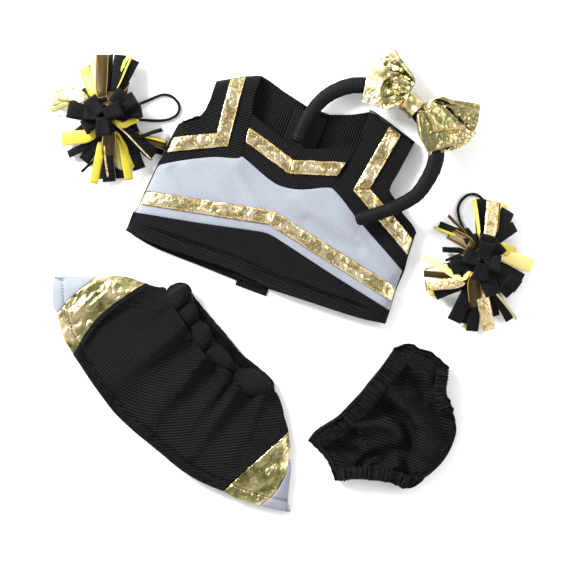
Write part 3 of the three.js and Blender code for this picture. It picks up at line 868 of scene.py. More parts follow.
class UNIFORM_OT_hand_loops(PieceOperator, bpy.types.Operator):
    """Elastic hand loops of both pom-poms"""

    bl_idname = "uniform.hand_loops"
    bl_label = "Hand loops"

    def execute(self, context):
        hand_loop(LEFT_POM, LEFT_LOOP)
        hand_loop(RIGHT_POM, RIGHT_LOOP)
        return {"FINISHED"}


# ---- top --------------------------------------------------------------------

HEM = Edge((-96.7, -1.2), (-75, -3.2), (-40, -1.8), (-12, -1.2), (12, -3.6), (34.7, -3.1), (78.2, -1.1), (96.7, 1.2))
HEM_JOIN = Edge((-96.4, 12.7), (-50, 21.8), (-10, 30.6), (-2.3, 31.6), (6, 30.4), (50, 20.6), (96.7, 11))
LEFT_SIDE = [(-96.7, -1.2), (-95.1, 9.4), (-94, 22.5), (-92.1, 47.2), (-90.4, 59.9), (-89.6, 70.5), (-88.1, 82.6)]
RIGHT_SIDE = [(96.7, 1.2), (96.4, 11), (95.4, 27), (96.1, 40.8), (95.1, 50.8), (94.7, 63.9), (94.7, 70.2)]
LEFT_SHOULDER_JOIN = [(-92.1, 47.2), (-90.7, 50.3), (-72.4, 61), (-56.5, 68.7), (-40.2, 73.8), (-38.1, 76)]
YOKE_JOIN = [(-38.1, 76), (-11.7, 66.8), (-0.3, 66.5), (11.2, 69.7), (28.5, 77.3)]
RIGHT_SHOULDER_JOIN = [(28.5, 77.3), (50.6, 64.6), (79, 49.1), (95.2, 40.4)]
NECK = [(-42.1, 106.2), (-24, 100.2), (-8.5, 95.4), (-3, 95.2), (14, 101.2), (35.5, 110.5)]
LEFT_STRAP_TOP = [(-73.9, 119.2), (-54.9, 130.2), (-45.3, 134.2)]
RIGHT_STRAP_TOP = [(34.2, 136.8), (38.4, 136.7), (71.6, 126.8)]
SIDE_SEAMS = [Edge(*LEFT_SIDE), Edge(*RIGHT_SIDE)]
STRAP_SEAMS = [Edge(*LEFT_STRAP_TOP, smooth=False), Edge(*RIGHT_STRAP_TOP, smooth=False)]


def top_rise(x, y, u=0.5, v=0.5):
    """How high the top's front lies: full in the middle, turned down to its side and shoulder seams."""
    p = Vector((x, y))
    side = min(edge.near(p) for edge in SIDE_SEAMS)
    strap = min(edge.near(p) for edge in STRAP_SEAMS)
    full = 9.6 - 4.4 * math.exp(-side / 4.5) - 4.2 * math.exp(-strap / 5)
    full -= 2.6 * math.exp(-max(y + 3, 0) / 7) * (1 - math.exp(-side / 9))
    slant = 0.55 * grain(x * 0.018 + y * 0.03, y * 0.02 - x * 0.03, 3)
    drag = 0.32 * grain(x * 0.06 + y * 0.05, y * 0.045 - x * 0.02, 7)
    return full + (slant + drag) * 1.6


# Soft pulls across the white panel: their line, height and width.
TOP_PULLS = [
    (Edge((-72, 57), (-52, 47), (-30, 40)), 1.5, 4.0), (Edge((-80, 50), (-64, 40), (-48, 34)), -1.3, 4.0),
    (Edge((-40, 68), (-28, 56), (-16, 46)), 1.2, 4.5), (Edge((8, 62), (30, 56), (52, 54)), 1.4, 5.0),
    (Edge((20, 50), (40, 44), (60, 44)), -1.4, 4.5), (Edge((60, 50), (76, 40), (88, 34)), 1.2, 4.0),
]


def white_rise(x, y, u=0.5, v=0.5):
    p = Vector((x, y))
    return top_rise(x, y) + sum(high * math.exp(-((line.near(p) / wide) ** 2)) for line, high, wide in TOP_PULLS)


class UNIFORM_OT_top_front(PieceOperator, bpy.types.Operator):
    """Front of the top: hem band, white panel, shoulders and neck yoke"""

    bl_idname = "uniform.top_front"
    bl_label = "Top front"

    def execute(self, context):

        def hem_rise(x, y, u, v):
            from_hem = v * mix(14, 34, 1 - abs(2 * u - 1))
            roll = 2.0 * bump(from_hem, 3.4, 3.0) - 2.4 * bump(from_hem, 8.6, 1.5) + 1.6 * bump(from_hem, 12.5, 3.0)
            return top_rise(x, y) + roll * ease((0.5 - abs(u - 0.5)) * 6)

        sewn(
            "hem_band", TOP, panel(HEM, HEM_JOIN), hem_rise, (120, 26), "black_knit", ["top_hem_panel"], turn=-2,
            seams="lrt", on=["back_left", "back_right"],
        )
        front_top = Edge(*LEFT_SHOULDER_JOIN, *YOKE_JOIN[1:], *RIGHT_SHOULDER_JOIN[1:])
        sewn(
            "front_panel", TOP,
            panel(
                HEM_JOIN, front_top, Edge((-96.4, 12.7), (-94, 22.5), (-92.1, 47.2)),
                Edge((96.7, 11), (95.4, 27), (95.2, 40.4)),
            ),
            white_rise, (140, 50), "white_knit", ["top_white_panel"], on=["back_left", "back_right"],
        )
        sewn(
            "left_shoulder", TOP,
            panel(
                Edge(*LEFT_SHOULDER_JOIN), Edge(*LEFT_STRAP_TOP, smooth=False),
                Edge(
                    (-92.1, 47.2), (-90.4, 59.9), (-88.4, 80), (-85.6, 84.4), (-76, 91.2), (-73.8, 97),
                    (-73.1, 106.6), (-73.9, 119.2), smooth=False,
                ),
                Edge((-38.1, 76), (-42.1, 106.2), (-44.5, 117.3), (-45.3, 134.2)),
            ),
            top_rise, (48, 70), "black_knit", ["top_left_shoulder_panel"], turn=38, seams="rbt", on=["back_left"],
        )
        sewn(
            "neck_yoke", TOP,
            panel(
                Edge(*YOKE_JOIN), Edge(*NECK), Edge((-38.1, 76), (-42.1, 106.2)), Edge((28.5, 77.3), (35.5, 110.5)),
            ),
            top_rise, (60, 28), "black_knit", ["top_neck_yoke"], turn=88, seams="lrb", on=["back_left", "back_right"],
        )
        sewn(
            "right_shoulder", TOP,
            panel(
                Edge(*RIGHT_SHOULDER_JOIN), Edge(*RIGHT_STRAP_TOP, smooth=False),
                Edge((28.5, 77.3), (35.5, 110.5), (34.2, 136.8)),
                Edge(
                    (95.2, 40.4), (94.7, 63.9), (94.2, 70), (80.6, 78.5), (73, 84.3), (67, 89.5), (68.6, 105),
                    (71.6, 126.8),
                ),
            ),
            top_rise, (52, 70), "black_knit", ["top_right_shoulder_panel"], turn=-34, seams="lbt", on=["back_right"],
        )
        return {"FINISHED"}


class UNIFORM_OT_top_braid(PieceOperator, bpy.types.Operator):
    """Four lengths of stitched gold braid"""

    bl_idname = "uniform.top_braid"
    bl_label = "Top braid"

    def execute(self, context):
        runs = {
            "chest": ([(-93.5, 24.8), (-4, 43), (95.2, 22.7)], [(0.08, 1), (-0.01, 1)]),
            "neck": ([(-40, 91.6), (-3.5, 81.2), (30.2, 92.1)], [(-0.13, 1), (0.2, 1)]),
            "left_shoulder": ([(-60.2, 126.8), (-55.4, 82.2), (-88.9, 65.9)], [(1, 0.58), (0.07, 1)]),
            "right_shoulder": ([(56, 130.8), (48.3, 83.7), (94.2, 57.9)], [(1, -0.3), (-0.03, 1)]),
        }
        for name, (points, cuts) in runs.items():
            braid(name, points, cuts, white_rise if name == "chest" else top_rise)
        return {"FINISHED"}


def under(x, y, u=0, v=0):
    """The lower ply lies on the table, and lifts to meet the front at its seams."""
    side = min(edge.near(Vector((x, y))) for edge in SIDE_SEAMS + STRAP_SEAMS)
    return 1.4 + 3.2 * math.exp(-side / 3.0) + 0.3 * abs(grain(x * 0.05, y * 0.05, 21))


class UNIFORM_OT_top_back(PieceOperator, bpy.types.Operator):
    """Back of the top, its seams and its hook-and-loop closure"""

    bl_idname = "uniform.top_back"
    bl_label = "Top back"

    def execute(self, context):
        wide = 9.5
        left = panel(
            Edge((-96.7, -1.2), (-76, -5.1), (-38.7, -6.1), (-wide, -6.9)),
            Edge((-73.9, 119.2), (-54.9, 130.2), (-45.3, 134.2), (-28, 130.2), (-wide, 126)),
            Edge(*LEFT_SIDE, (-86.3, 84.5), (-74.6, 92.4), (-73.1, 106.6), (-73.9, 119.2)),
        )
        right = panel(
            Edge((wide, -4.6), (34.7, -3.4), (78.2, -1.4), (96.7, 1.2)),
            Edge((wide, 126), (24.1, 131.7), (34.2, 136.8), (38.4, 136.7), (71.6, 126.8)),
            None,
            Edge(*RIGHT_SIDE, (80.6, 78.5), (73, 84.3), (67, 89.5), (68.6, 105), (71.6, 126.8)),
        )
        sewn(
            "back_left", TOP, left, under, (56, 70), "black_knit", ["top_back_left_panel"], turn=90, seams="",
            wall=0.9 * MM, on=["closure_flap"],
        )
        sewn(
            "back_right", TOP, right, under, (56, 70), "black_knit", ["top_back_right_panel"], turn=90, seams="",
            wall=0.9 * MM, on=["closure_flap"],
        )
        for name, points in (
            ("left_side_seam", LEFT_SIDE), ("right_side_seam", RIGHT_SIDE),
            ("left_shoulder_seam", LEFT_STRAP_TOP), ("right_shoulder_seam", RIGHT_STRAP_TOP),
        ):
            overlock(
                f"{name}_overlock", TOP, Edge(*points), lambda t: (
                    0.6, 1.3 + 0.2 * math.sin(t * 90),
                ), [f"top_{name}"],
                aside=1.3 if name.startswith("left") else -1.3,
            )

        def flap_rise(x, y, u, v):
            return 0.85 + 0.25 * grain(x * 0.1, y * 0.06, 31) * ease(v * 4)

        def box_panel(x0, x1, y0, y1):
            return panel(Edge((x0, y0), (x1, y0)), Edge((x0, y1), (x1, y1)))

        sewn(
            "closure_flap", TOP, box_panel(-11.6, 11.6, -10, 126), flap_rise, (16, 90), "black_knit",
            ["top_closure_flap"], body="closure_flap", turn=90, wall=0.8 * MM, dip=0.1, on=["floor"],
        )
        sewn(
            "hook_tape", TOP, box_panel(-9, 3, 2, 118), lambda x, y, u, v: 1.9, (14, 80), "tape", ["top_hook_tape"],
            body="closure_flap", wall=0.6 * MM, dip=0.15,
        )
        sewn(
            "loop_tape", TOP, box_panel(-16, 8, -5, 122), lambda x, y, u, v: 2.9, (18, 80), "tape", ["top_loop_tape"],
            wall=0.6 * MM, dip=0.15,
        )
        stitches(
            "closure_stitches",
            [[TOP.at(s * 10.2, y, 3.05) for y in range(-4, 122, 6)] for s in (-1.4, 0.7)],
            "black_thread", "top",
        )
        return {"FINISHED"}


# ---- skirt ------------------------------------------------------------------


HEM_DEPTH = 7.6  # millimetres from the skirt's edge to its stitching
SKIRT_HEM = {
    "white_left": [(-115.8, -4.3), (-104.8, -13.5), (-98.2, -15.9)],
    "gold_left": [(-98.2, -15.9), (-85, -23.7), (-70, -27.5)],
    "black": [(-70, -27.5), (-34.8, -33.5), (-13.6, -35), (20, -31.6), (48.7, -27.6), (72, -18.7)],
    "gold_right": [(72, -18.7), (83.4, -14.7), (97.6, -6.8)],
    "white_right": [(97.6, -6.8), (115.8, 4.3)],
}
SKIRT_TOP = {
    "white_left": [(-118.7, 0.5), (-98.1, 21.8)],
    "gold_left": [(-98.1, 21.8), (-85, 35.9), (-71, 43.5)],
    "gold_right": [(74.3, 43.0), (82.3, 37.2), (88.9, 30.4)],
    "white_right": [(88.9, 30.4), (94.9, 26), (108.6, 9.4), (115.8, 4.8)],
}
GOLD_LEFT = Edge((-70, -27.5), (-76, -2), (-75.5, 17.7), (-71, 43.5))
GOLD_RIGHT = Edge((72, -18.7), (72.8, 9.6), (74.3, 43.0))
WHITE_LEFT = Edge((-98.2, -15.9), (-99.6, 2), (-98.1, 21.8))
WHITE_RIGHT = Edge((97.6, -6.8), (98.8, 3), (97.7, 11.6), (94.2, 21.5), (88.9, 30.4))
SKIRT_OUTLINE = Edge(
    (-118.7, 0.5), (-98.1, 21.8), (-85, 35.9), (-71, 43.4), (-63, 48.4), (-58.8, 52.4), smooth=False)
SKIRT_OUTLINE_RIGHT = Edge(
    (45.8, 56.9), (54.5, 55), (65.8, 48), (74.3, 43), (82.3, 37.2), (94.9, 26), (108.6, 9.4), (115.8, 4.3),
    smooth=False,
)
SKIRT_HEM_LINE = Edge(*[p for key in SKIRT_HEM for p in SKIRT_HEM[key]], smooth=False)
# Each fold: where it leaves the waist and reaches the hem, how high and how wide it is, and where along it fades.
FOLDS = [
    (-50, -58, 0.9, 7, 0.0), (
        -37, -44, 1.5, 6, 0.05,
    ), (-30, -34, 2.2, 5, 0.35), (-17, -19, -1.4, 6, 0.1), (-6, 0, 2.4, 5, 0.25),
    (6, 13, -1.2, 5, 0.15), (14, 24, 1.0, 4.5, 0.3), (
        21.5, 33, -1.8, 3.4, 0.45,
    ), (26, 37, 2.2, 4.5, 0.2), (37, 50, -1.2, 6, 0.2), (44, 62, 1.4, 6, 0.3),
]


def skirt_rise(x, y, u=0.5, v=0.5):
    """How high the skirt's front lies: full in the middle, turned down to its side seams."""
    return skirt_lie(x, y)[0]


def skirt_folds(x, y, u=0.5, v=0.5):
    """Folds run down from the gathered waist and open out before the hem, which dips along its stitching."""
    far = SKIRT_HEM_LINE.near(Vector((x, y)))
    return 2.1 * skirt_lie(x, y)[1] * ease(far / 12) + 0.7 * math.exp(-((far / 5) ** 2)) - 2.0 * bump(far, 8.0, 1.3)


def skirt_lie(x, y):
    p = Vector((x, y))
    side = min(SKIRT_OUTLINE.near(p), SKIRT_OUTLINE_RIGHT.near(p))
    reach = min(max((46 - y) / 76, 0), 1)
    full = 10.2 - 5.6 * math.exp(-side / 6)
    folds = sum(
        high * math.exp(
            -(((x - mix(a, b, reach)) / (wide * (0.75 + 0.9 * reach))) ** 2)
        ) * (1 - fade * reach - 0.4 * ease(reach))
        for a, b, high, wide, fade in FOLDS
    )
    swell = 0.9 * grain(x * 0.03, y * 0.035, 41) + 0.35 * grain(x * 0.09, y * 0.05, 43)
    return full + swell, folds * (1 - math.exp(-side / 7))


def skirt_low_hem(x, y, u=0.5, v=0.5):
    """The hem hangs lower than the rest, near the table."""
    return skirt_rise(x, y) - 3.2 * math.exp(-SKIRT_HEM_LINE.near(Vector((x, y))) / 9)


def skirt_hem_rise(x, y, u=0.5, v=0.5):
    """The turned hem is a little thicker and dips along its stitching."""
    far = SKIRT_HEM_LINE.near(Vector((x, y)))
    return skirt_low_hem(x, y) + 0.5 * math.exp(-((far / 5) ** 2)) - 0.9 * bump(far, HEM_DEPTH, 1.0)


class UNIFORM_OT_skirt(PieceOperator, bpy.types.Operator):
    """Skirt: black front, gold and white insets, back and seams"""

    bl_idname = "uniform.skirt"
    bl_label = "Skirt"

    def execute(self, context):
        waist = Edge(
            (-71, 43.5), (-63, 48.0), (-58.8, 51.4), (-51.5, 47.2), (-39.5, 46), (-29.5, 44.2), (-5.6, 39.5),
            (19.6, 43.8), (26.2, 40.2), (40, 47.2), (45.8, 56), (54.5, 54.6), (65.8, 48), (74.3, 43.0),
        )
        front = panel(Edge(*SKIRT_HEM["black"]), waist, GOLD_LEFT, GOLD_RIGHT)
        sewn(
            "skirt_front", SKIRT, front, skirt_low_hem, (150, 76), "black_knit", ["skirt_front_panel"],
            turn=lambda x: mix(16, 52, ease((x + 70) / 100)), seams="lr",
            slack={"growth": 0.1, "frames": 26, "low": LOWEST_FOLD, "high": 14.5, "weight": 0.5},
            after=skirt_folds, on=["skirt_back"],
        )

        def inset_rise(x, y, u=0.5, v=0.5):
            crumple = 1.8 * grain(x * 0.13, y * 0.06, 51) - 1.3 * abs(
                grain(x * 0.2, y * 0.1, 52)
            ) + 0.3 * grain(x * 0.5, y * 0.3, 53)
            return skirt_hem_rise(x, y) + crumple

        parts = (
            ("left_gold", "gold_left", WHITE_LEFT, GOLD_LEFT, "inset_lame", (34, 60), inset_rise),
            ("right_gold", "gold_right", GOLD_RIGHT, WHITE_RIGHT, "inset_lame", (34, 60), inset_rise),
            (
                "left_white", "white_left", Edge((-115.8, -4.3), (-118.7, 0.5)), WHITE_LEFT, "white_knit", (24, 40),
                skirt_hem_rise,
            ),
            (
                "right_white", "white_right", WHITE_RIGHT, Edge((115.8, 4.3), (115.8, 4.8)), "white_knit", (24, 40),
                skirt_hem_rise,
            ),
        )
        for name, key, left, right, finish, counts, rise in parts:
            shape = panel(Edge(*SKIRT_HEM[key]), Edge(*SKIRT_TOP[key]), left, right)
            sewn(
                f"{name}_inset", SKIRT, shape, rise, counts, finish, [f"skirt_{name}_inset"], turn=30,
                on=[f"{name}_inset_back"],
            )

        def back_rise(x, y, u, v):
            side = min(SKIRT_OUTLINE.near(Vector((x, y))), SKIRT_OUTLINE_RIGHT.near(Vector((x, y))))
            return 1.4 + 3 * math.exp(-side / 3) + 0.5 * abs(grain(x * 0.05, y * 0.04, 61))

        back_top = Edge((-71, 43.5), (-56, 47), (46, 47), (65.8, 47.6), (74.3, 43), smooth=False)
        shape = panel(Edge(*SKIRT_HEM["black"]), back_top, GOLD_LEFT, GOLD_RIGHT)
        sewn(
            "skirt_back", SKIRT, shape, back_rise, (80, 40), "black_knit", ["skirt_back_panel"], turn=90, seams="lr",
            on=["floor"],
        )
        for name, key, left, right, finish, counts, rise in parts:
            shape = panel(Edge(*SKIRT_HEM[key]), Edge(*SKIRT_TOP[key]), left, right)
            sewn(f"{name}_inset_back", SKIRT, shape, back_rise, (20, 30), finish, turn=30, on=["floor"])
        for name, line, finish in (
            ("left", Edge((-85, 35.9), (-71, 43.4), (-63, 48.4), (-58.8, 52.4), smooth=False), "black_knit"),
            (
                "right", Edge((45.8, 56.9), (54.5, 55), (65.8, 48), (74.3, 43), (82.3, 37.2), smooth=False),
                "black_knit",
            ),
            ("left_end", Edge((-116.5, 2), (-98.1, 20.8), (-87, 33), smooth=False), "white_knit"),
            ("right_end", Edge((84, 35), (94.9, 25), (108.6, 8.6), (114, 5), smooth=False), "white_knit"),
        ):
            stands_for = [] if name.endswith("_end") else [f"skirt_{name}_side_seam"]
            overlock(
                f"skirt_{name}_overlock", SKIRT, line, lambda t: (0.6, 1.2), stands_for, aside=1.4, finish=finish,
            )
        rows = []
        for start, end, rise in (
            (0.0, 0.085, skirt_hem_rise), (0.095, 0.22, inset_rise), (0.792, 0.9, inset_rise),
            (0.91, 0.985, skirt_hem_rise),
        ):
            row = []
            for k in range(15):
                share = mix(start, end, k / 14)
                way = SKIRT_HEM_LINE.heading(share)
                p = SKIRT_HEM_LINE(share) + Vector((-way.y, way.x)) * HEM_DEPTH
                row.append(SKIRT.at(p.x, p.y, rise(p.x, p.y) + 0.6))
            rows.append(row)
        stitches("skirt_hem_stitches", rows, "black_thread", "skirt")
        return {"FINISHED"}


# Where the casing is pinched by its gathers, along it, and how tall the puff between is.
PINCHES = [-56, -40, -27, -7.4, 17.6, 46]


def puff(x, pinches):
    """0 at a pinch and 1 in the middle of the puff between two pinches."""
    for a, b in zip(pinches, pinches[1:]):
        if a <= x <= b:
            return math.sin(math.pi * (x - a) / (b - a)) ** 0.55
    return 0.0


def rounded(t):
    """Rises from 0 to 1 along a quarter circle, for an end that is rounded off."""
    return math.sqrt(1 - (1 - min(max(t, 0), 1)) ** 2)


class UNIFORM_OT_skirt_waist(PieceOperator, bpy.types.Operator):
    """Gathered waist casing of the skirt, and the elastic in it"""

    bl_idname = "uniform.skirt_waist"
    bl_label = "Skirt waist"

    def execute(self, context):
        top = Edge(
            (-54.3, 64.4), (-45.1, 63.9), (-39.7, 60.1), (-33, 57.4), (-27, 54), (-18.4, 54.4), (-8.5, 51.6),
            (4, 51.8), (17.6, 50.6), (24, 56), (33, 58.6), (46.2, 57.9),
        )
        low = Edge(
            (-58.8, 51.6), (-51.5, 46.2), (-39.5, 44.9), (-29.5, 43.1), (-5.6, 38.3), (8, 41), (19.6, 42.4),
            (26.2, 38.8), (36, 41), (43, 48), (46.4, 56.4),
        )

        def front(u, v):
            if v <= 0.62:
                p = low(u).lerp(top(u), v / 0.62)
                swell = math.sin(math.pi * (v / 0.62)) ** 0.8
            else:
                p = top(u).lerp(low(u), (v - 0.62) * 1.6)
                swell = -0.9 * math.sin(math.pi * (v - 0.62) / 0.76) ** 0.8
            full = puff(p.x, PINCHES)
            fine = 0.5 * grain(p.x * 0.5, p.y * 0.12, 71) * (1.3 - full)
            lift = 9.4 + swell * (1.2 + 3.2 * full) + 1.4 * fine - 3.0 * (1 - full) * (1 if swell > 0 else 0)
            end = min(u, 1 - u) * 105
            p = p.lerp(low(u).lerp(top(u), 0.45), 0.8 * (1 - rounded(end / 6)))
            return SKIRT.at(
                p.x, p.y + 1.6 * (full - 0.6) * (v / 0.62 if v <= 0.62 else 1), mix(5.4, lift, ease(end / 6)),
            )

        bm = bmesh.new()
        lay(bm, 190, 26, front, lambda u, v: (v * 0.022, u * 0.12), dense=False)
        made_piece("skirt_casing_front", bm, "black_knit", "skirt", ["skirt_waist_casing_front"], 0.8 * MM)

        back_top = Edge((-56, 63.6), (-26.5, 60.6), (-4.6, 59.4), (12, 58), (33.2, 60.6), (46, 60.2))
        back_low = Edge((-57, 47), (-5, 45.6), (46, 47))

        def back(u, v):
            p = back_low(u).lerp(back_top(u), 0.5 + (v - 0.5) * (0.2 + 0.8 * rounded(min(u, 1 - u) * 102 / 6)))
            wave = 0.9 * grain(p.x * 0.22, 3, 81) + 0.5 * grain(p.x * 0.7, p.y * 0.1, 82)
            return SKIRT.at(
                p.x, p.y + 0.5 * wave * v,
                1.3 + 1.5 * math.sin(math.pi * v) + wave * 0.6 + 0.4 + 2.6 * ease(v * 1.2 - 0.2),
            )

        bm = bmesh.new()
        lay(bm, 150, 16, back, lambda u, v: (v * 0.014, u * 0.12))
        made_piece("skirt_casing_back", bm, "black_knit", "skirt", ["skirt_waist_casing_back"], 0.8 * MM)
        elastic_ring("skirt_elastic_band", SKIRT, "skirt_waist_elastic", (-52, 42), 52.8, 3.4)
        return {"FINISHED"}


def elastic_ring(name, place, node, span, level, half):
    """A flat ring of woven elastic, gathered a little, lying in its casing."""
    bm = bmesh.new()
    middle, reach = (span[0] + span[1]) / 2, (span[1] - span[0]) / 2

    def at(u, v):
        turn = 2 * math.pi * u
        wave = 0.25 * math.sin(turn * 16)
        x = middle + reach * math.copysign(abs(math.cos(turn)) ** 0.25, math.cos(turn))
        z = 6.4 + (1.7 + wave) * math.copysign(abs(math.sin(turn)) ** 0.6, math.sin(turn))
        return place.at(x, level + half * (2 * v - 1), z)

    made = lay(bm, 120, 6, at, lambda u, v: (u * 0.2, v * 0.007))
    shut(bm, made, ends=False)
    made_piece(name, bm, "elastic", place.body, [node], 0.7 * MM)


# ---- bloomers ---------------------------------------------------------------

BLOOMER_WAIST = [
    (-43.7, -0.5), (-35.2, -0.1), (-18.8, -4.0), (-8.6, -4.6), (6, -4.4), (15.3, -3.4), (27.8, -2.5), (34.7, -1.6),
    (43.8, 0.2),
]
BLOOMER_RIGHT = [(60.8, -37), (59.9, -19.9), (56.6, -14.2), (53.9, -5.6), (43.8, 0.2)]
BLOOMER_LEFT = [(-51.2, -34.5), (-44.6, -19.3), (-43.7, -0.5)]
LEFT_LEG = [(-51.2, -34.5), (-38.8, -44.9), (-25.5, -62.2), (-20, -74.8)]
CROTCH = [(-20, -74.8), (-4.2, -78.5), (12.9, -78.8), (31.7, -71.7), (40.5, -60)]
RIGHT_LEG = [(40.5, -60), (47, -47), (51.9, -42.8), (60.8, -37)]
LEFT_LEG_EDGE, RIGHT_LEG_EDGE = Edge(*LEFT_LEG), Edge(*RIGHT_LEG)
BLOOMER_SIDES = [Edge(*BLOOMER_LEFT), Edge(*BLOOMER_RIGHT), Edge(*CROTCH)]
WAIST_EDGE = Edge(*BLOOMER_WAIST)
# Deep creases of the slack front: their line, depth and width.
CREASES = [
    (Edge((6.1, -12.8), (10.7, -30), (10.7, -41.8), (0.8, -51.3), (-12.5, -64.2)), -4.6, 3.4),
    (Edge((-14, -16), (-4, -26), (2, -34), (4, -46)), 2.6, 3.6),
    (Edge((20, -18), (17, -34), (16, -50), (6, -60)), 3.4, 5.0),
    (Edge((30, -14), (33, -30), (30, -48), (22, -66)), -2.4, 3.6),
    (Edge((42, -10), (44, -24), (42, -40), (37, -54)), 1.8, 4.4),
    (Edge((-36, -40), (-24, -38), (-12, -42), (-4, -50)), -2.8, 2.6),
    (Edge((-28, -50), (-18, -50), (-8, -56)), 2.2, 3.0),
    (Edge((-32, -12), (-30, -24), (-26, -32)), -1.8, 3.4),
]


def bloomers_lie(x, y):
    """Slack cloth between gathered edges: deep creases in the middle, close small ones at the elastic."""
    p = Vector((x, y))
    side = min(edge.near(p) for edge in BLOOMER_SIDES)
    leg = min(LEFT_LEG_EDGE.near(p), RIGHT_LEG_EDGE.near(p))
    waist = WAIST_EDGE.near(p)
    full = 11.2 - 6.6 * math.exp(-side / 5)
    slack = (1 - math.exp(-side / 8)) * (1 - math.exp(-leg / 8)) * (1 - math.exp(-waist / 14))
    deep = sum(d * math.exp(-((line.near(p) / w) ** 2)) for line, d, w in CREASES) * slack
    angle = math.atan2(y + 75, x + 30)
    gathers = 1.5 * grain(
        angle * 10 + 3, leg * 0.08, 91,
    ) * math.exp(-leg / 15) + 1.3 * grain(x * 0.42, waist * 0.05, 92) * math.exp(-waist / 13)
    slump = 1.2 * grain(x * 0.055, y * 0.05, 93) + (
        1.6 * grain(x * 0.13, y * 0.1, 94) - 1.3 * abs(grain(x * 0.17, y * 0.12, 96))
    ) * slack
    return full, 2.3 * deep + 1.8 * gathers * (1 - math.exp(-side / 4)) + 2.0 * slump


def bloomers_rise(x, y, u=0.5, v=0.5):
    return bloomers_lie(x, y)[0]


def bloomers_folds(x, y, u=0.5, v=0.5):
    return bloomers_lie(x, y)[1]


class UNIFORM_OT_bloomers(PieceOperator, bpy.types.Operator):
    """Bloomers: slack front and back between gathered waist and leg casings"""

    bl_idname = "uniform.bloomers"
    bl_label = "Bloomers"

    def execute(self, context):
        bottom = Edge(*LEFT_LEG, *CROTCH[1:], *RIGHT_LEG[1:])
        shape = panel(bottom, WAIST_EDGE, Edge(*BLOOMER_LEFT), Edge(*BLOOMER_RIGHT))
        sewn(
            "bloomers_front", BLOOMERS, shape, bloomers_rise, (130, 100), "black_knit", ["bloomers_front_panel"],
            turn=-64, seams="", slack={"growth": 0.22, "frames": 30, "low": LOWEST_FOLD, "high": 17, "weight": 0.7},
            after=bloomers_folds, on=["bloomers_back"],
        )

        def back_rise(x, y, u, v):
            side = min(edge.near(Vector((x, y))) for edge in BLOOMER_SIDES)
            return 1.3 + 3.0 * math.exp(-side / 3.0) + 0.5 * abs(grain(x * 0.07, y * 0.07, 95))

        sewn(
            "bloomers_back", BLOOMERS, shape, back_rise, (80, 60), "black_knit",
            ["bloomers_back_panel", "bloomers_gusset"], turn=44, seams="", on=["floor"],
        )
        for name, line in (("left", Edge(*BLOOMER_LEFT)), ("right", Edge(*BLOOMER_RIGHT))):
            overlock(
                f"bloomers_{name}_overlock", BLOOMERS, line, lambda t: (0.7 + 0.25 * math.sin(t * 40), 1.9),
                [f"bloomers_{name}_side_seam"], level=4.9,
            )
        casings = (
            ("waist", WAIST_EDGE, 12.0, 42, ["bloomers_waist_casing_front"]),
            ("left_leg", LEFT_LEG_EDGE, 8.5, 26, ["bloomers_left_leg_casing"]),
            ("right_leg", RIGHT_LEG_EDGE, 8.0, 15, ["bloomers_right_leg_casing"]),
        )
        for name, line, deep, gathers, nodes in casings:
            gathered_casing(f"bloomers_{name}_gathers", line, deep, gathers, nodes, front=True)
        gathered_casing(
            "bloomers_waist_gathers_back", WAIST_EDGE, 11.0, 40, ["bloomers_waist_casing_back"], front=False,
        )
        elastic_ring("bloomers_waist_elastic_band", BLOOMERS, "bloomers_waist_elastic", (-38, 40), -7.25, 3.2)
        for name, line in (("left", LEFT_LEG_EDGE), ("right", RIGHT_LEG_EDGE)):
            bm = bmesh.new()

            def band(u, v):
                p = line(0.06 + 0.88 * u)
                way = line.heading(u)
                p = p + Vector((-way.y, way.x)) * (2 + 3 * v)
                return BLOOMERS.at(p.x, p.y, 5.2 + 0.3 * math.sin(u * 90))

            lay(bm, 50, 4, band, lambda u, v: (u * 0.05, v * 0.004))
            made_piece(
                f"bloomers_{name}_leg_elastic_band", bm, "elastic", "bloomers", [f"bloomers_{name}_leg_elastic"],
                0.6 * MM,
            )
        return {"FINISHED"}


def gathered_casing(name, line, deep, gathers, nodes, front):
    """A casing along an edge, puckered into small puffs by the elastic in it, its cloth turned over at the edge."""
    bm = bmesh.new()

    def at(u, v):
        p = line(u)
        way = line.heading(u)
        inward = Vector((-way.y, way.x))
        if name.startswith("bloomers_waist"):
            inward = -inward
        jitter = 1.5 * grain(u * gathers * 0.3, 5, 101)
        pleat = math.cos(2 * math.pi * (u * gathers + jitter)) * (0.35 + 1.9 * abs(grain(u * gathers * 0.21, 9, 103)))
        if v <= 0.6:
            share = v / 0.6
            across, swell = deep * (1 - share), math.sin(math.pi * mix(0.25, 1, share)) ** 0.7
        else:
            share = (v - 0.6) / 0.4
            across, swell = deep * 0.6 * share, -0.8 * math.sin(math.pi * share * 0.6)
        q = p + inward * (across - 0.9 * pleat * ease(1 - across / deep) + 0.6)
        end = ease(min(u, 1 - u) * line.length / 6)
        rough = 1.5 * grain(q.x * 0.2, q.y * 0.2, 102) - 1.2 * abs(grain(q.x * 0.33, q.y * 0.33, 104))
        if front:
            z = mix(5.6, bloomers_rise(q.x, q.y) * 0.35 + 6.6 + swell * 2.0 + pleat * 0.75 + rough, end)
        else:
            z = 2.1 + 0.7 * swell + 0.4 * pleat * (0.5 + 0.5 * swell) + 0.2 * rough
        return BLOOMERS.at(q.x, q.y, z)

    lay(bm, int(gathers * 7), 18, at, lambda u, v: (v * deep * 1.8 * MM, u * line.length * 1.4 * MM))
    made_piece(name, bm, "black_knit", "bloomers", nodes, 0.7 * MM)


# ---- headband and bow -------------------------------------------------------

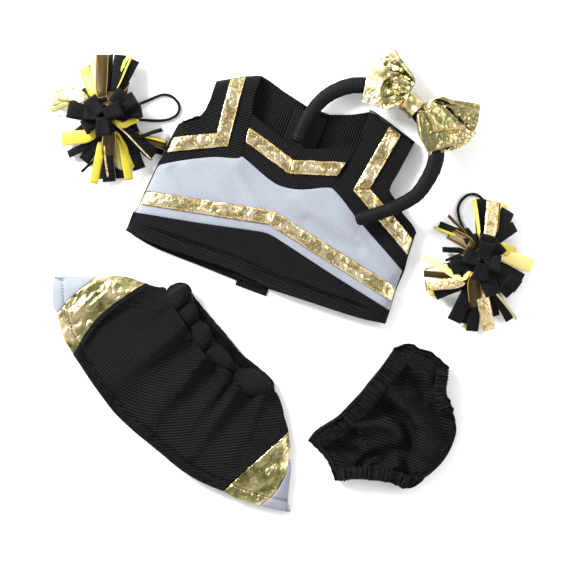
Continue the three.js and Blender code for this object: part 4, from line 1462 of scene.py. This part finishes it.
HOOP = Edge(
    (6.2, 103.4), (14.4, 120.5), (29.7, 136.4), (52, 142.2), (84, 130), (103.2, 97), (92.6, 68.4), (74, 56),
    (48.4, 47.6),
)
HOOP_PARTS = (("left_arm", 0.0, 0.33), ("crown", 0.33, 0.6), ("right_arm", 0.6, 1.0))
HOOP_GAP = 0.0028


def hoop_level(x, y):
    """The hoop rests on the top at one side, so its plane is tilted."""
    return 20 + 0.0414 * x - 0.0984 * y


def on_hoop(x, y, z):
    return TABLE.at(x, y, hoop_level(x, y) + z)


def hoop_width(t):
    return mix(5.9, 4.7, ease((t - 0.55) / 0.4)) if t > 0.5 else mix(4.6, 5.9, ease(t / 0.35))


class UNIFORM_OT_headband(PieceOperator, bpy.types.Operator):
    """Hoop wound in grosgrain ribbon, in three parts that spread apart"""

    bl_idname = "uniform.headband"
    bl_label = "Headband"

    def execute(self, context):
        for name, start, end in HOOP_PARTS:
            a = start + (HOOP_GAP if start else 0)
            b = end - (HOOP_GAP if end < 1 else 0)
            bm = bmesh.new()

            def centre(t):
                share = mix(a, b, t)
                p = HOOP(share)
                far = min(share, 1 - share) * HOOP.length
                p = p + HOOP.heading(share) * math.copysign(1.6 * ease(1 - far / 4), share - 0.5)
                return on_hoop(p.x, p.y, 0)

            def frame_of(t):
                way = HOOP.heading(mix(a, b, t))
                side = Vector((-way.y, way.x, 0))
                side = (on_hoop(side.x, side.y, 0) - on_hoop(0, 0, 0)).normalized()
                ahead = (on_hoop(way.x, way.y, 0) - on_hoop(0, 0, 0)).normalized()
                return side, ahead.cross(side).normalized()

            length = HOOP.length * (b - a)

            def radii(t, turn):
                share = mix(a, b, t)
                far = min(share, 1 - share) * HOOP.length
                tip = max(1 - (1 - min(far / 2.4, 1)) ** 2.4, 1e-6) ** 0.42
                wound = (t * length / 7.5 + turn / (2 * math.pi)) % 1.0
                step = 1 + 0.05 * (wound - 0.5)
                ribs = 0.04 * math.cos(2 * math.pi * t * length / 1.7)
                return (hoop_width(share) * step + ribs) * tip * MM, (4.0 * step + ribs) * tip * MM

            tube(bm, centre, frame_of, radii, int(length / 0.28), 22)
            for face in bm.faces:
                for loop in face.loops:
                    loop[bm.loops.layers.uv.verify()].uv.x *= length * MM
            made_piece(f"headband_{name}_ribbon", bm, "wrap_grosgrain", f"headband_{name}", [f"headband_{name}_wrap"])
            core = frame["nodes"][f"headband_{name}_core"]
            core.data.materials.clear()
            core.data.materials.append(FINISHES["hoop_core"])
        return {"FINISHED"}


def through(marks, t):
    """The height of a broken line through (place, height) marks."""
    for (a, low), (b, high) in zip(marks, marks[1:]):
        if t <= b:
            return mix(low, high, ease((t - a) / (b - a)))
    return marks[-1][1]


def bow_wing(name, front, back, face, ridge, creases, bright, node, away):
    """One gold loop. Its front ply is a smooth face that folds over along ridge, u of the fold for each v, and gathers
    into the knot; its back ply is lower and shows behind the front's free edge, in an open pocket."""
    bm = bmesh.new()

    def front_at(u, v):
        p = front(u, v)
        out = 1 - u if away else u
        fold = through(ridge, v)
        past = out - fold
        if past > 0:
            z = mix(face[0], face[1], (past / (1 - fold)) ** 0.8) + 1.0 * math.sin(math.pi * v) * (1 - past)
            rough = bright(v, out)
        else:
            drop = ease(-past / 0.05)
            bulge = math.sin(math.pi * min(-past / max(fold, 0.1), 1)) * 1.6
            z = face[0] - 3.4 * drop + bulge * drop + 1.3 * math.cos(v * 15 + 3 * past) * drop * ease(out * 6)
            rough = 0.8 * drop
        z += sum(deep * math.exp(-((line.near(p) / wide) ** 2)) for line, deep, wide in creases)
        z += rough * (1.3 * grain(p.x * 0.2, p.y * 0.2, 111) - 1.5 * abs(grain(p.x * 0.34, p.y * 0.34, 112)))
        free = ease((v - 0.9) * 10) * ease(out * 4)
        return on_hoop(p.x, p.y, mix(6.4, z + 0.7 * free, ease(out * 5)))

    def back_at(u, v):
        p = back(u, v)
        out = 1 - u if away else u
        hollow = 4.4 * math.exp(-(((v - 0.62) / 0.2) ** 2)) * ease(out * 4)
        crinkle = 1.6 * grain(p.x * 0.22, p.y * 0.22, 113) - 1.4 * abs(grain(p.x * 0.4, p.y * 0.4, 114))
        rim = ease((v - 0.86) * 12)
        z = face[0] - 2.6 - 3.4 * out - hollow + crinkle * (1 - rim) * ease(v * 3) * ease(out * 3) + 1.8 * rim
        return on_hoop(p.x, p.y, mix(5.4, max(z, -1.5), ease(out * 4)))

    lay(bm, 90, 80, front_at, lambda u, v: (u * 0.04, v * 0.044))
    lay(bm, 70, 70, back_at, lambda u, v: (u * 0.04, v * 0.044))
    made_piece(name, bm, "bow_lame", "headband_crown", [node], 0.5 * MM, offset=0)


class UNIFORM_OT_bow(PieceOperator, bpy.types.Operator):
    """Bow of two gold lame loops under a narrow centre strip"""

    bl_idname = "uniform.bow"
    bl_label = "Bow"

    def execute(self, context):
        left_front = panel(
            Edge((83.3, 130.2), (77.6, 126.9), (69.3, 123.7), (60.4, 126.9), (51.5, 129.4), smooth=False),
            Edge((86.5, 140.9), (78.9, 148.5), (71.2, 151.1), (66.8, 155.5), (63.3, 161.3)),
            None,
            Edge((51.5, 129.4), (53.1, 138.3), (56, 149.8), (63.3, 161.3)),
        )
        left_back = panel(
            Edge((83.3, 131.2), (77.6, 128.6), (69.3, 126.4), (61.4, 129.6), (54.5, 132.0)),
            Edge((87.8, 141.4), (88.8, 144.1), (83.6, 153.5), (77, 163.8), (75.4, 167.6)),
            None,
            Edge((54.5, 132.0), (55.5, 140.3), (58.4, 149.8), (63.9, 160.8), (69.5, 163.0), (75.4, 167.6)),
        )
        bow_wing(
            "bow_left_loop_foil", left_front, left_back, (8.8, 4.6), [
                (0, 0.46), (0.2, 0.6), (0.42, 0.66), (0.65, 0.64), (0.9, 0.55), (1, 0.4),
            ],
            [(Edge((75, 133), (69, 132), (67, 128)), -2.2, 2.0), (Edge((77, 138), (71, 141), (69, 146)), -1.6, 1.6)],
            lambda v, out: 0.9 * ease((0.45 - v) * 4), "bow_left_loop", False,
        )
        right_front = panel(
            Edge((98, 92.1), (94.4, 99), (90.3, 106.5), (89.1, 117.9), (90.6, 124.0)),
            Edge((131.1, 108.4), (127.3, 108.4), (119, 114.8), (109.5, 123.7), (97.4, 129.8)),
            Edge((98, 92.1), (109.5, 94.6), (122.2, 98.8), (131.1, 108.4)),
        )
        right_back = panel(
            Edge((99.4, 94.4), (95.8, 100.6), (91.8, 107.4), (90.6, 118), (91.2, 125.0)),
            Edge((133.3, 127.2), (126, 128.6), (113, 130.6), (105.6, 132.6), (98.2, 130.6)),
            Edge((99.4, 94.4), (109.8, 97.4), (121.6, 101.2), (129.8, 109.6), (132.6, 118), (133.3, 127.2)),
        )
        bow_wing(
            "bow_right_loop_foil", right_front, right_back, (11.0, 2.6), [(0, 0.12), (0.5, 0.16), (1, 0.12)],
            [
                (
                    Edge((93.8, 119.5), (95, 113), (96.5, 107.5)), -5.2, 2.6,
                ), (Edge((95, 122), (100.8, 110.3), (97.5, 104.5)), 2.2, 1.2),
                (
                    Edge((96, 105), (107, 107.5), (118, 109)), -2.2, 1.1,
                ), (Edge((94.8, 104), (102, 101), (110, 98)), -1.8, 1.1),
                (Edge((98, 108), (110, 112), (120, 113)), 1.2, 3.0),
            ],
            lambda v, out: 0.9 * ease((out - 0.72) * 6) + 0.35 * ease((v - 0.3) * 3), "bow_right_loop", True,
        )
        bm = bmesh.new()
        middle = HOOP(0.47)
        way = HOOP.heading(0.47)
        side = Vector((-way.y, way.x))

        def strip(u, v):
            turn = 2 * math.pi * u
            rim = 2 * v - 1
            crumple = 0.35 * math.cos(turn * 3 + rim * 2) + 0.5 * grain(u * 9, v * 3, 121)
            across = (7.4 + 0.3 * crumple + 0.8 * rim * rim) * math.cos(turn)
            high = 1.4 + (8.6 + 0.4 * crumple + 1.2 * rim * rim) * math.sin(turn)
            p = middle + side * across + way * (rim * 5.2)
            return on_hoop(p.x, p.y, high)

        made = lay(bm, 72, 20, strip, lambda u, v: (u * 0.05, v * 0.01))
        shut(bm, made, ends=False)
        made_piece("bow_centre_strip", bm, "bow_lame", "headband_crown", ["bow_centre_wrap"], 0.5 * MM)
        return {"FINISHED"}


# ---- pom-poms ---------------------------------------------------------------

# Each ribbon: where it comes out of the bundle and where it ends, its width, its level in the pile, how far it is
# rolled on edge (degrees) and its finish.
LEFT_STRANDS = [
    (-9.4, 21.7, -15.2, 35.9, 8, 2, 12, "yellow_ribbon"), (-6.8, 24.9, -11.4, 38.5, 4, 1, 0, "black_ribbon"),
    (-6.5, 28, -9.5, 41.5, 4, 2, 20, "cream_ribbon"), (-1.7, 21.7, -2.3, 44.9, 8.8, 3, 0, "olive_ribbon"),
    (3.2, 24, 2.6, 45.5, 5, 1, 30, "black_ribbon"), (8.6, 24, 10, 45, 8, 2, 0, "black_ribbon"),
    (12, 34, 13.2, 45.5, 3.6, 1, 20, "yellow_ribbon"), (13.8, 27, 20, 41.5, 8, 2, 0, "black_ribbon"),
    (11.5, 24, 18.6, 44.4, 2.2, 3, 60, "yellow_ribbon"), (-18, 14.5, -35.2, 19, 9.8, 3, 0, "bright_ribbon"),
    (-26, 9.4, -39, 6, 3.6, 1, 20, "sage_ribbon"), (-24, 11.4, -37.8, 11.4, 4.6, 1, 20, "sage_ribbon"),
    (-12, -4, -22.5, -11, 6, 0, 0, "black_ribbon"), (-10, -12.4, -31, -14.6, 9.6, 2, 0, "yellow_ribbon"),
    (-8, -17, -26.8, -25, 5.4, 1, 0, "black_ribbon"), (-6, -18, -15.9, -29.3, 8, 1, 0, "black_ribbon"),
    (-6.8, -28, -17.8, -37, 2.4, 0, 60, "black_ribbon"), (-3.9, -26, -8.8, -45.4, 6, 1, 0, "yellow_ribbon"),
    (-2.5, -27, -4.6, -42, 4, 0, 0, "olive_ribbon"), (0.9, -26, 2.2, -44, 9, 1, 0, "black_ribbon"),
    (0.6, -28, 1.6, -41, 1.8, 2, 50, "bright_ribbon"), (4.4, -10.5, 2.2, -28, 9.8, 4, 0, "olive_ribbon"),
    (8.4, -18, 9.9, -37, 6.4, 1, 0, "sage_ribbon"), (9.6, -24, 10.5, -41.5, 8, 0, 0, "black_ribbon"),
    (12.8, -20, 16.4, -43, 6, 2, 0, "yellow_ribbon"), (11.6, -14, 19.6, -34.5, 2.6, 3, 60, "yellow_ribbon"),
    (14.5, -10.6, 23.6, -35.4, 9, 2, 0, "black_ribbon"), (12.5, -7.4, 34, -26, 9, 3, 10, "black_ribbon"),
    (14, -10, 33, -29.5, 1.8, 4, 60, "bright_ribbon"), (20, -12.4, 42.4, -18.4, 7, 1, 10, "olive_ribbon"),
    (20, -11, 42.4, -16.2, 2.4, 2, 50, "yellow_ribbon"), (20, -17, 40, -23, 5, 0, 0, "black_ribbon"),
    (24, -13.4, 39.6, -7.6, 3, 2, 30, "black_ribbon"), (13, -6.4, 23, -0.6, 4.4, 4, 0, "yellow_ribbon"),
    (0.4, 9.4, -9.4, 20.6, 9, 4, 0, "olive_ribbon"), (3, 9.4, 13, 24, 8.6, 4, 20, "olive_ribbon"),
    (-10, 12, -17, 21, 9, 1, 0, "black_ribbon"), (14, 3, 21, -14, 9, 1, 0, "black_ribbon"),
    (10, 14, 12, 27, 9, 1, 0, "black_ribbon"), (-8, 4, -24, 9, 9, 2, 0, "black_ribbon"),
]
LEFT_LOOPS = [
    (-25, 5.4, 11.5, 3, "black_ribbon"), (22, 13, 10, 3, "black_ribbon"), (26, 5, 10, 2, "black_ribbon"),
    (5, -12, 9, 4, "black_ribbon"), (-14, -8, 10, 3, "black_ribbon"), (14, 18, 9, 3, "black_ribbon"),
    (-2, 13, 9, 3, "black_ribbon"), (13, 5, 11, 5, "black_ribbon"), (-13, 3, 11, 4, "black_ribbon"),
    (1, -14, 11, 5, "black_ribbon"), (-9, 12, 10, 5, "black_ribbon"),
]
RIGHT_STRANDS = [
    (6.2, 21, 9.6, 43.1, 9, 3, 0, "bright_ribbon"), (9.6, 18, 13.4, 41.7, 4, 2, 20, "olive_ribbon"),
    (-1.3, 22, -3.3, 44.5, 3, 2, 50, "yellow_ribbon"), (0.7, 22, 1.4, 44.5, 8, 1, 0, "black_ribbon"),
    (11, 19, 20.5, 36.3, 10, 2, 0, "black_ribbon"), (13, 17, 25.6, 25.4, 8, 1, 0, "black_ribbon"),
    (14, 30, 19, 41, 4, 0, 0, "yellow_ribbon"), (13, 9.4, 25.4, 6.4, 8, 3, 0, "yellow_ribbon"),
    (13, 4.9, 37.4, -2.8, 9.6, 2, 0, "cream_ribbon"), (9, -2, 30, -13, 10, 2, 0, "black_ribbon"),
    (9, -4, 27.4, -17.6, 10, 3, 0, "black_ribbon"), (8, -8, 23, -22, 10, 2, 0, "black_ribbon"),
    (6.9, -17, 26, -40, 2.4, 3, 50, "sage_ribbon"), (8, -18, 21.9, -40.8, 6, 1, 0, "black_ribbon"),
    (7.6, -22, 12.3, -38, 6, 0, 0, "black_ribbon"), (-5.6, -13, -2.7, -32, 9.6, 4, 0, "olive_ribbon"),
    (1.4, -24, 6.9, -48, 9, 2, 0, "bright_ribbon"), (-3, -26, -4.7, -48.6, 8.6, 1, 0, "black_ribbon"),
    (-5.4, -28, -9.5, -46.2, 3, 0, 0, "yellow_ribbon"), (-8, -20, -17.7, -41.5, 10, 2, 0, "black_ribbon"),
    (-6, -21, -11, -43, 9, 1, 0, "black_ribbon"), (-12, -14, -31.3, -22.5, 9, 2, 0, "black_ribbon"),
    (-20, -18, -34.8, -22.4, 4, 0, 0, "yellow_ribbon"), (-15, -14, -38, -16.6, 8, 3, 0, "bright_ribbon"),
    (-16, -10, -38.8, -8, 5, 2, 30, "olive_ribbon"), (-13.6, -12, -38.8, 4, 4.4, 4, 0, "cream_ribbon"),
    (-20, 0.6, -38, -5, 1.6, 3, 60, "bright_ribbon"), (-14, 8, -25.6, 9, 4, 1, 20, "black_ribbon"),
    (-9, 12.6, -21, 20.4, 9, 3, 0, "olive_ribbon"), (-17, 18, -31.3, 24.7, 2.2, 1, 50, "yellow_ribbon"),
    (-12, 19, -27.9, 26.5, 5.4, 1, 0, "black_ribbon"), (-11, 21, -21.4, 32.9, 2.4, 1, 50, "olive_ribbon"),
    (0.4, 1, -10.4, 9, 10, 5, 0, "olive_ribbon"), (-6, 12, -12, 22, 10, 2, 0, "black_ribbon"),
    (-12, 2, -22, -2, 9, 1, 0, "black_ribbon"), (8, 12, 14, 22, 9, 1, 0, "black_ribbon"),
]
RIGHT_LOOPS = [
    (8, -23, 11, 4, "black_ribbon"), (-21, -4, 10, 3, "black_ribbon"), (14, 12, 11, 3, "black_ribbon"),
    (-8, 18, 10, 2, "black_ribbon"), (4, 19, 10, 3, "black_ribbon"), (17, -14, 11, 3, "black_ribbon"),
    (-12, -14, 10, 3, "black_ribbon"), (12, -2, 12, 5, "black_ribbon"), (-12, 5, 12, 4, "black_ribbon"),
    (3, 13, 11, 5, "black_ribbon"), (-2, -13, 11, 5, "black_ribbon"),
]


def strand(bm, place, x0, y0, x1, y1, width, level, roll, seed):
    """A cut ribbon that leaves the tie, arches over and comes down to its end."""
    root, tip = Vector((x0, y0)), Vector((x1, y1))
    reach = (tip - root).length + root.length
    start = root * 0.22
    arch = 7.5 + 3.1 * level
    end = 1.4 + 1.9 * level
    line = Edge((start.x, start.y, 8 + 1.6 * level), (root.x * 0.7, root.y * 0.7, arch + 1), (root.x, root.y, arch),
                (*root.lerp(tip, 0.6), mix(arch, end, 0.5)), (tip.x, tip.y, end))
    curl = 0.9 * grain(seed * 1.7, level, 131)

    def at(u, v):
        p = line(u)
        way = line.heading(u)
        side = way.cross(Vector((0, 0, 1)))
        side = side.normalized() if side.length > 1e-6 else Vector((1, 0, 0))
        up = side.cross(way).normalized()
        angle = math.radians(roll * (1 - 0.25 * u) + 34 * curl * (1 - u) ** 2 + 16 * curl * math.sin(u * 5))
        across = (v - 0.5) * width * mix(0.45, 1, ease(u / 0.55))
        cup = (0.6 + 0.5 * curl) * (abs(2 * v - 1) ** 2) * (1 - 0.6 * u)
        q = p + side * (across * math.cos(angle)) + up * (across * math.sin(angle) - cup)
        return place.at(q.x, q.y, max(q.z, 0.5))

    lay(bm, 20, 5, at, lambda u, v: (u * reach * MM, v))


def looped(bm, place, x, y, width, level, seed):
    """A ribbon doubled back on itself: out along one side, round, and home again above."""
    tip = Vector((x, y))
    way = tip.normalized()
    base = 4 + 3.4 * level
    line = Edge(
        (*(tip * 0.12), base + 3), (*(tip * 0.55), base - 0.5), (*(tip * 0.93), base + 0.4), (*tip, base + 2.9),
        (*(tip * 0.9), base + 5.4), (*(tip * 0.5), base + 5.0), (*(tip * 0.1), base + 5.6),
    )
    side = Vector((-way.y, way.x, 0))

    def at(u, v):
        p = line(u)
        spread = mix(0.55, 1, math.sin(math.pi * u) ** 0.6)
        wave = 0.5 * math.sin(v * 5 + seed) * math.sin(math.pi * u)
        q = p + side * ((v - 0.5) * width * spread) + Vector((0, 0, wave))
        return place.at(q.x, q.y, max(q.z, 0.6))

    lay(bm, 40, 6, at, lambda u, v: (u * line.length * MM, v))


def pom_pom(place, strands, loops):
    """All the ribbons of one pom-pom, one piece for each finish, and the thread that ties them."""
    body = place.body
    meshes = {}
    for seed, (x0, y0, x1, y1, width, level, roll, finish) in enumerate(strands):
        if finish not in meshes:
            meshes[finish] = bmesh.new()
        bm = meshes[finish]
        strand(bm, place, x0, y0, x1, y1, width, level, roll, seed)
    for seed, (x, y, width, level, finish) in enumerate(loops):
        looped(meshes[finish], place, x, y, width, level, seed)
    for finish, bm in meshes.items():
        nodes = {
            "black_ribbon": [
                f"{body}_lower_ribbons", f"{body}_upper_ribbons",
            ], "bright_ribbon": [f"{body}_gold_ribbons"],
        }.get(finish, [])
        made_piece(f"{body}_{finish}s", bm, finish, body, nodes, sizes().ribbon, offset=0)
    bm = bmesh.new()

    def wound(u, v):
        turn = 2 * math.pi * u
        lump = 0.35 * math.sin(v * 2 * math.pi * 7)
        r = 5.6 + lump - 1.6 * abs(2 * v - 1) ** 3
        return place.at(r * math.cos(turn), r * math.sin(turn), 3.5 + 9 * v)

    shut(bm, lay(bm, 40, 56, wound))
    made_piece(f"{body}_tie_thread", bm, "black_thread", body, [f"{body}_tie"], slot=frame_slot(f"{body}_tie"))


def frame_slot(node):
    """The material slot that the record gives a node."""
    for part in frame["record"].get("subparts", []):
        if part.get("node") == node:
            return part.get("material_slot")
    raise RuntimeError(f"the record gives {node} no material slot")


class UNIFORM_OT_pom_poms(PieceOperator, bpy.types.Operator):
    """Ribbon pom-poms"""

    bl_idname = "uniform.pom_poms"
    bl_label = "Pom-poms"

    def execute(self, context):
        pom_pom(LEFT_POM, LEFT_STRANDS, LEFT_LOOPS)
        pom_pom(RIGHT_POM, RIGHT_STRANDS, RIGHT_LOOPS)
        return {"FINISHED"}


# ---- add-on -----------------------------------------------------------------

STEPS = (
    UNIFORM_OT_stage, UNIFORM_OT_hand_loops, UNIFORM_OT_top_front, UNIFORM_OT_top_braid, UNIFORM_OT_top_back,
    UNIFORM_OT_skirt, UNIFORM_OT_skirt_waist, UNIFORM_OT_bloomers, UNIFORM_OT_headband, UNIFORM_OT_bow,
    UNIFORM_OT_pom_poms,
)


class UNIFORM_PT_pieces(bpy.types.Panel):
    """The uniform's pieces, in the order they are made"""

    bl_idname = "UNIFORM_PT_pieces"
    bl_label = "Cheer uniform"
    bl_space_type = "VIEW_3D"
    bl_region_type = "UI"
    bl_category = "Uniform"

    def draw(self, context):
        column = self.layout.column()
        for step in STEPS:
            column.operator(step.bl_idname)
        for group in (context.scene.uniform_sizes, context.scene.uniform_colours):
            for key in group.bl_rna.properties.keys():
                if key not in ("rna_type", "name"):
                    column.prop(group, key)


CLASSES = (UniformColours, UniformSizes, *STEPS, UNIFORM_PT_pieces)


def register():
    for cls in CLASSES:
        bpy.utils.register_class(cls)
    bpy.types.Scene.uniform_colours = PointerProperty(type=UniformColours)
    bpy.types.Scene.uniform_sizes = PointerProperty(type=UniformSizes)


def unregister():
    del bpy.types.Scene.uniform_sizes
    del bpy.types.Scene.uniform_colours
    for cls in reversed(CLASSES):
        bpy.utils.unregister_class(cls)


def main():
    register()
    make_finishes()
    for step in STEPS:
        group, name = step.bl_idname.split(".")
        getattr(getattr(bpy.ops, group), name)()


if __name__ == "__main__":
    main()
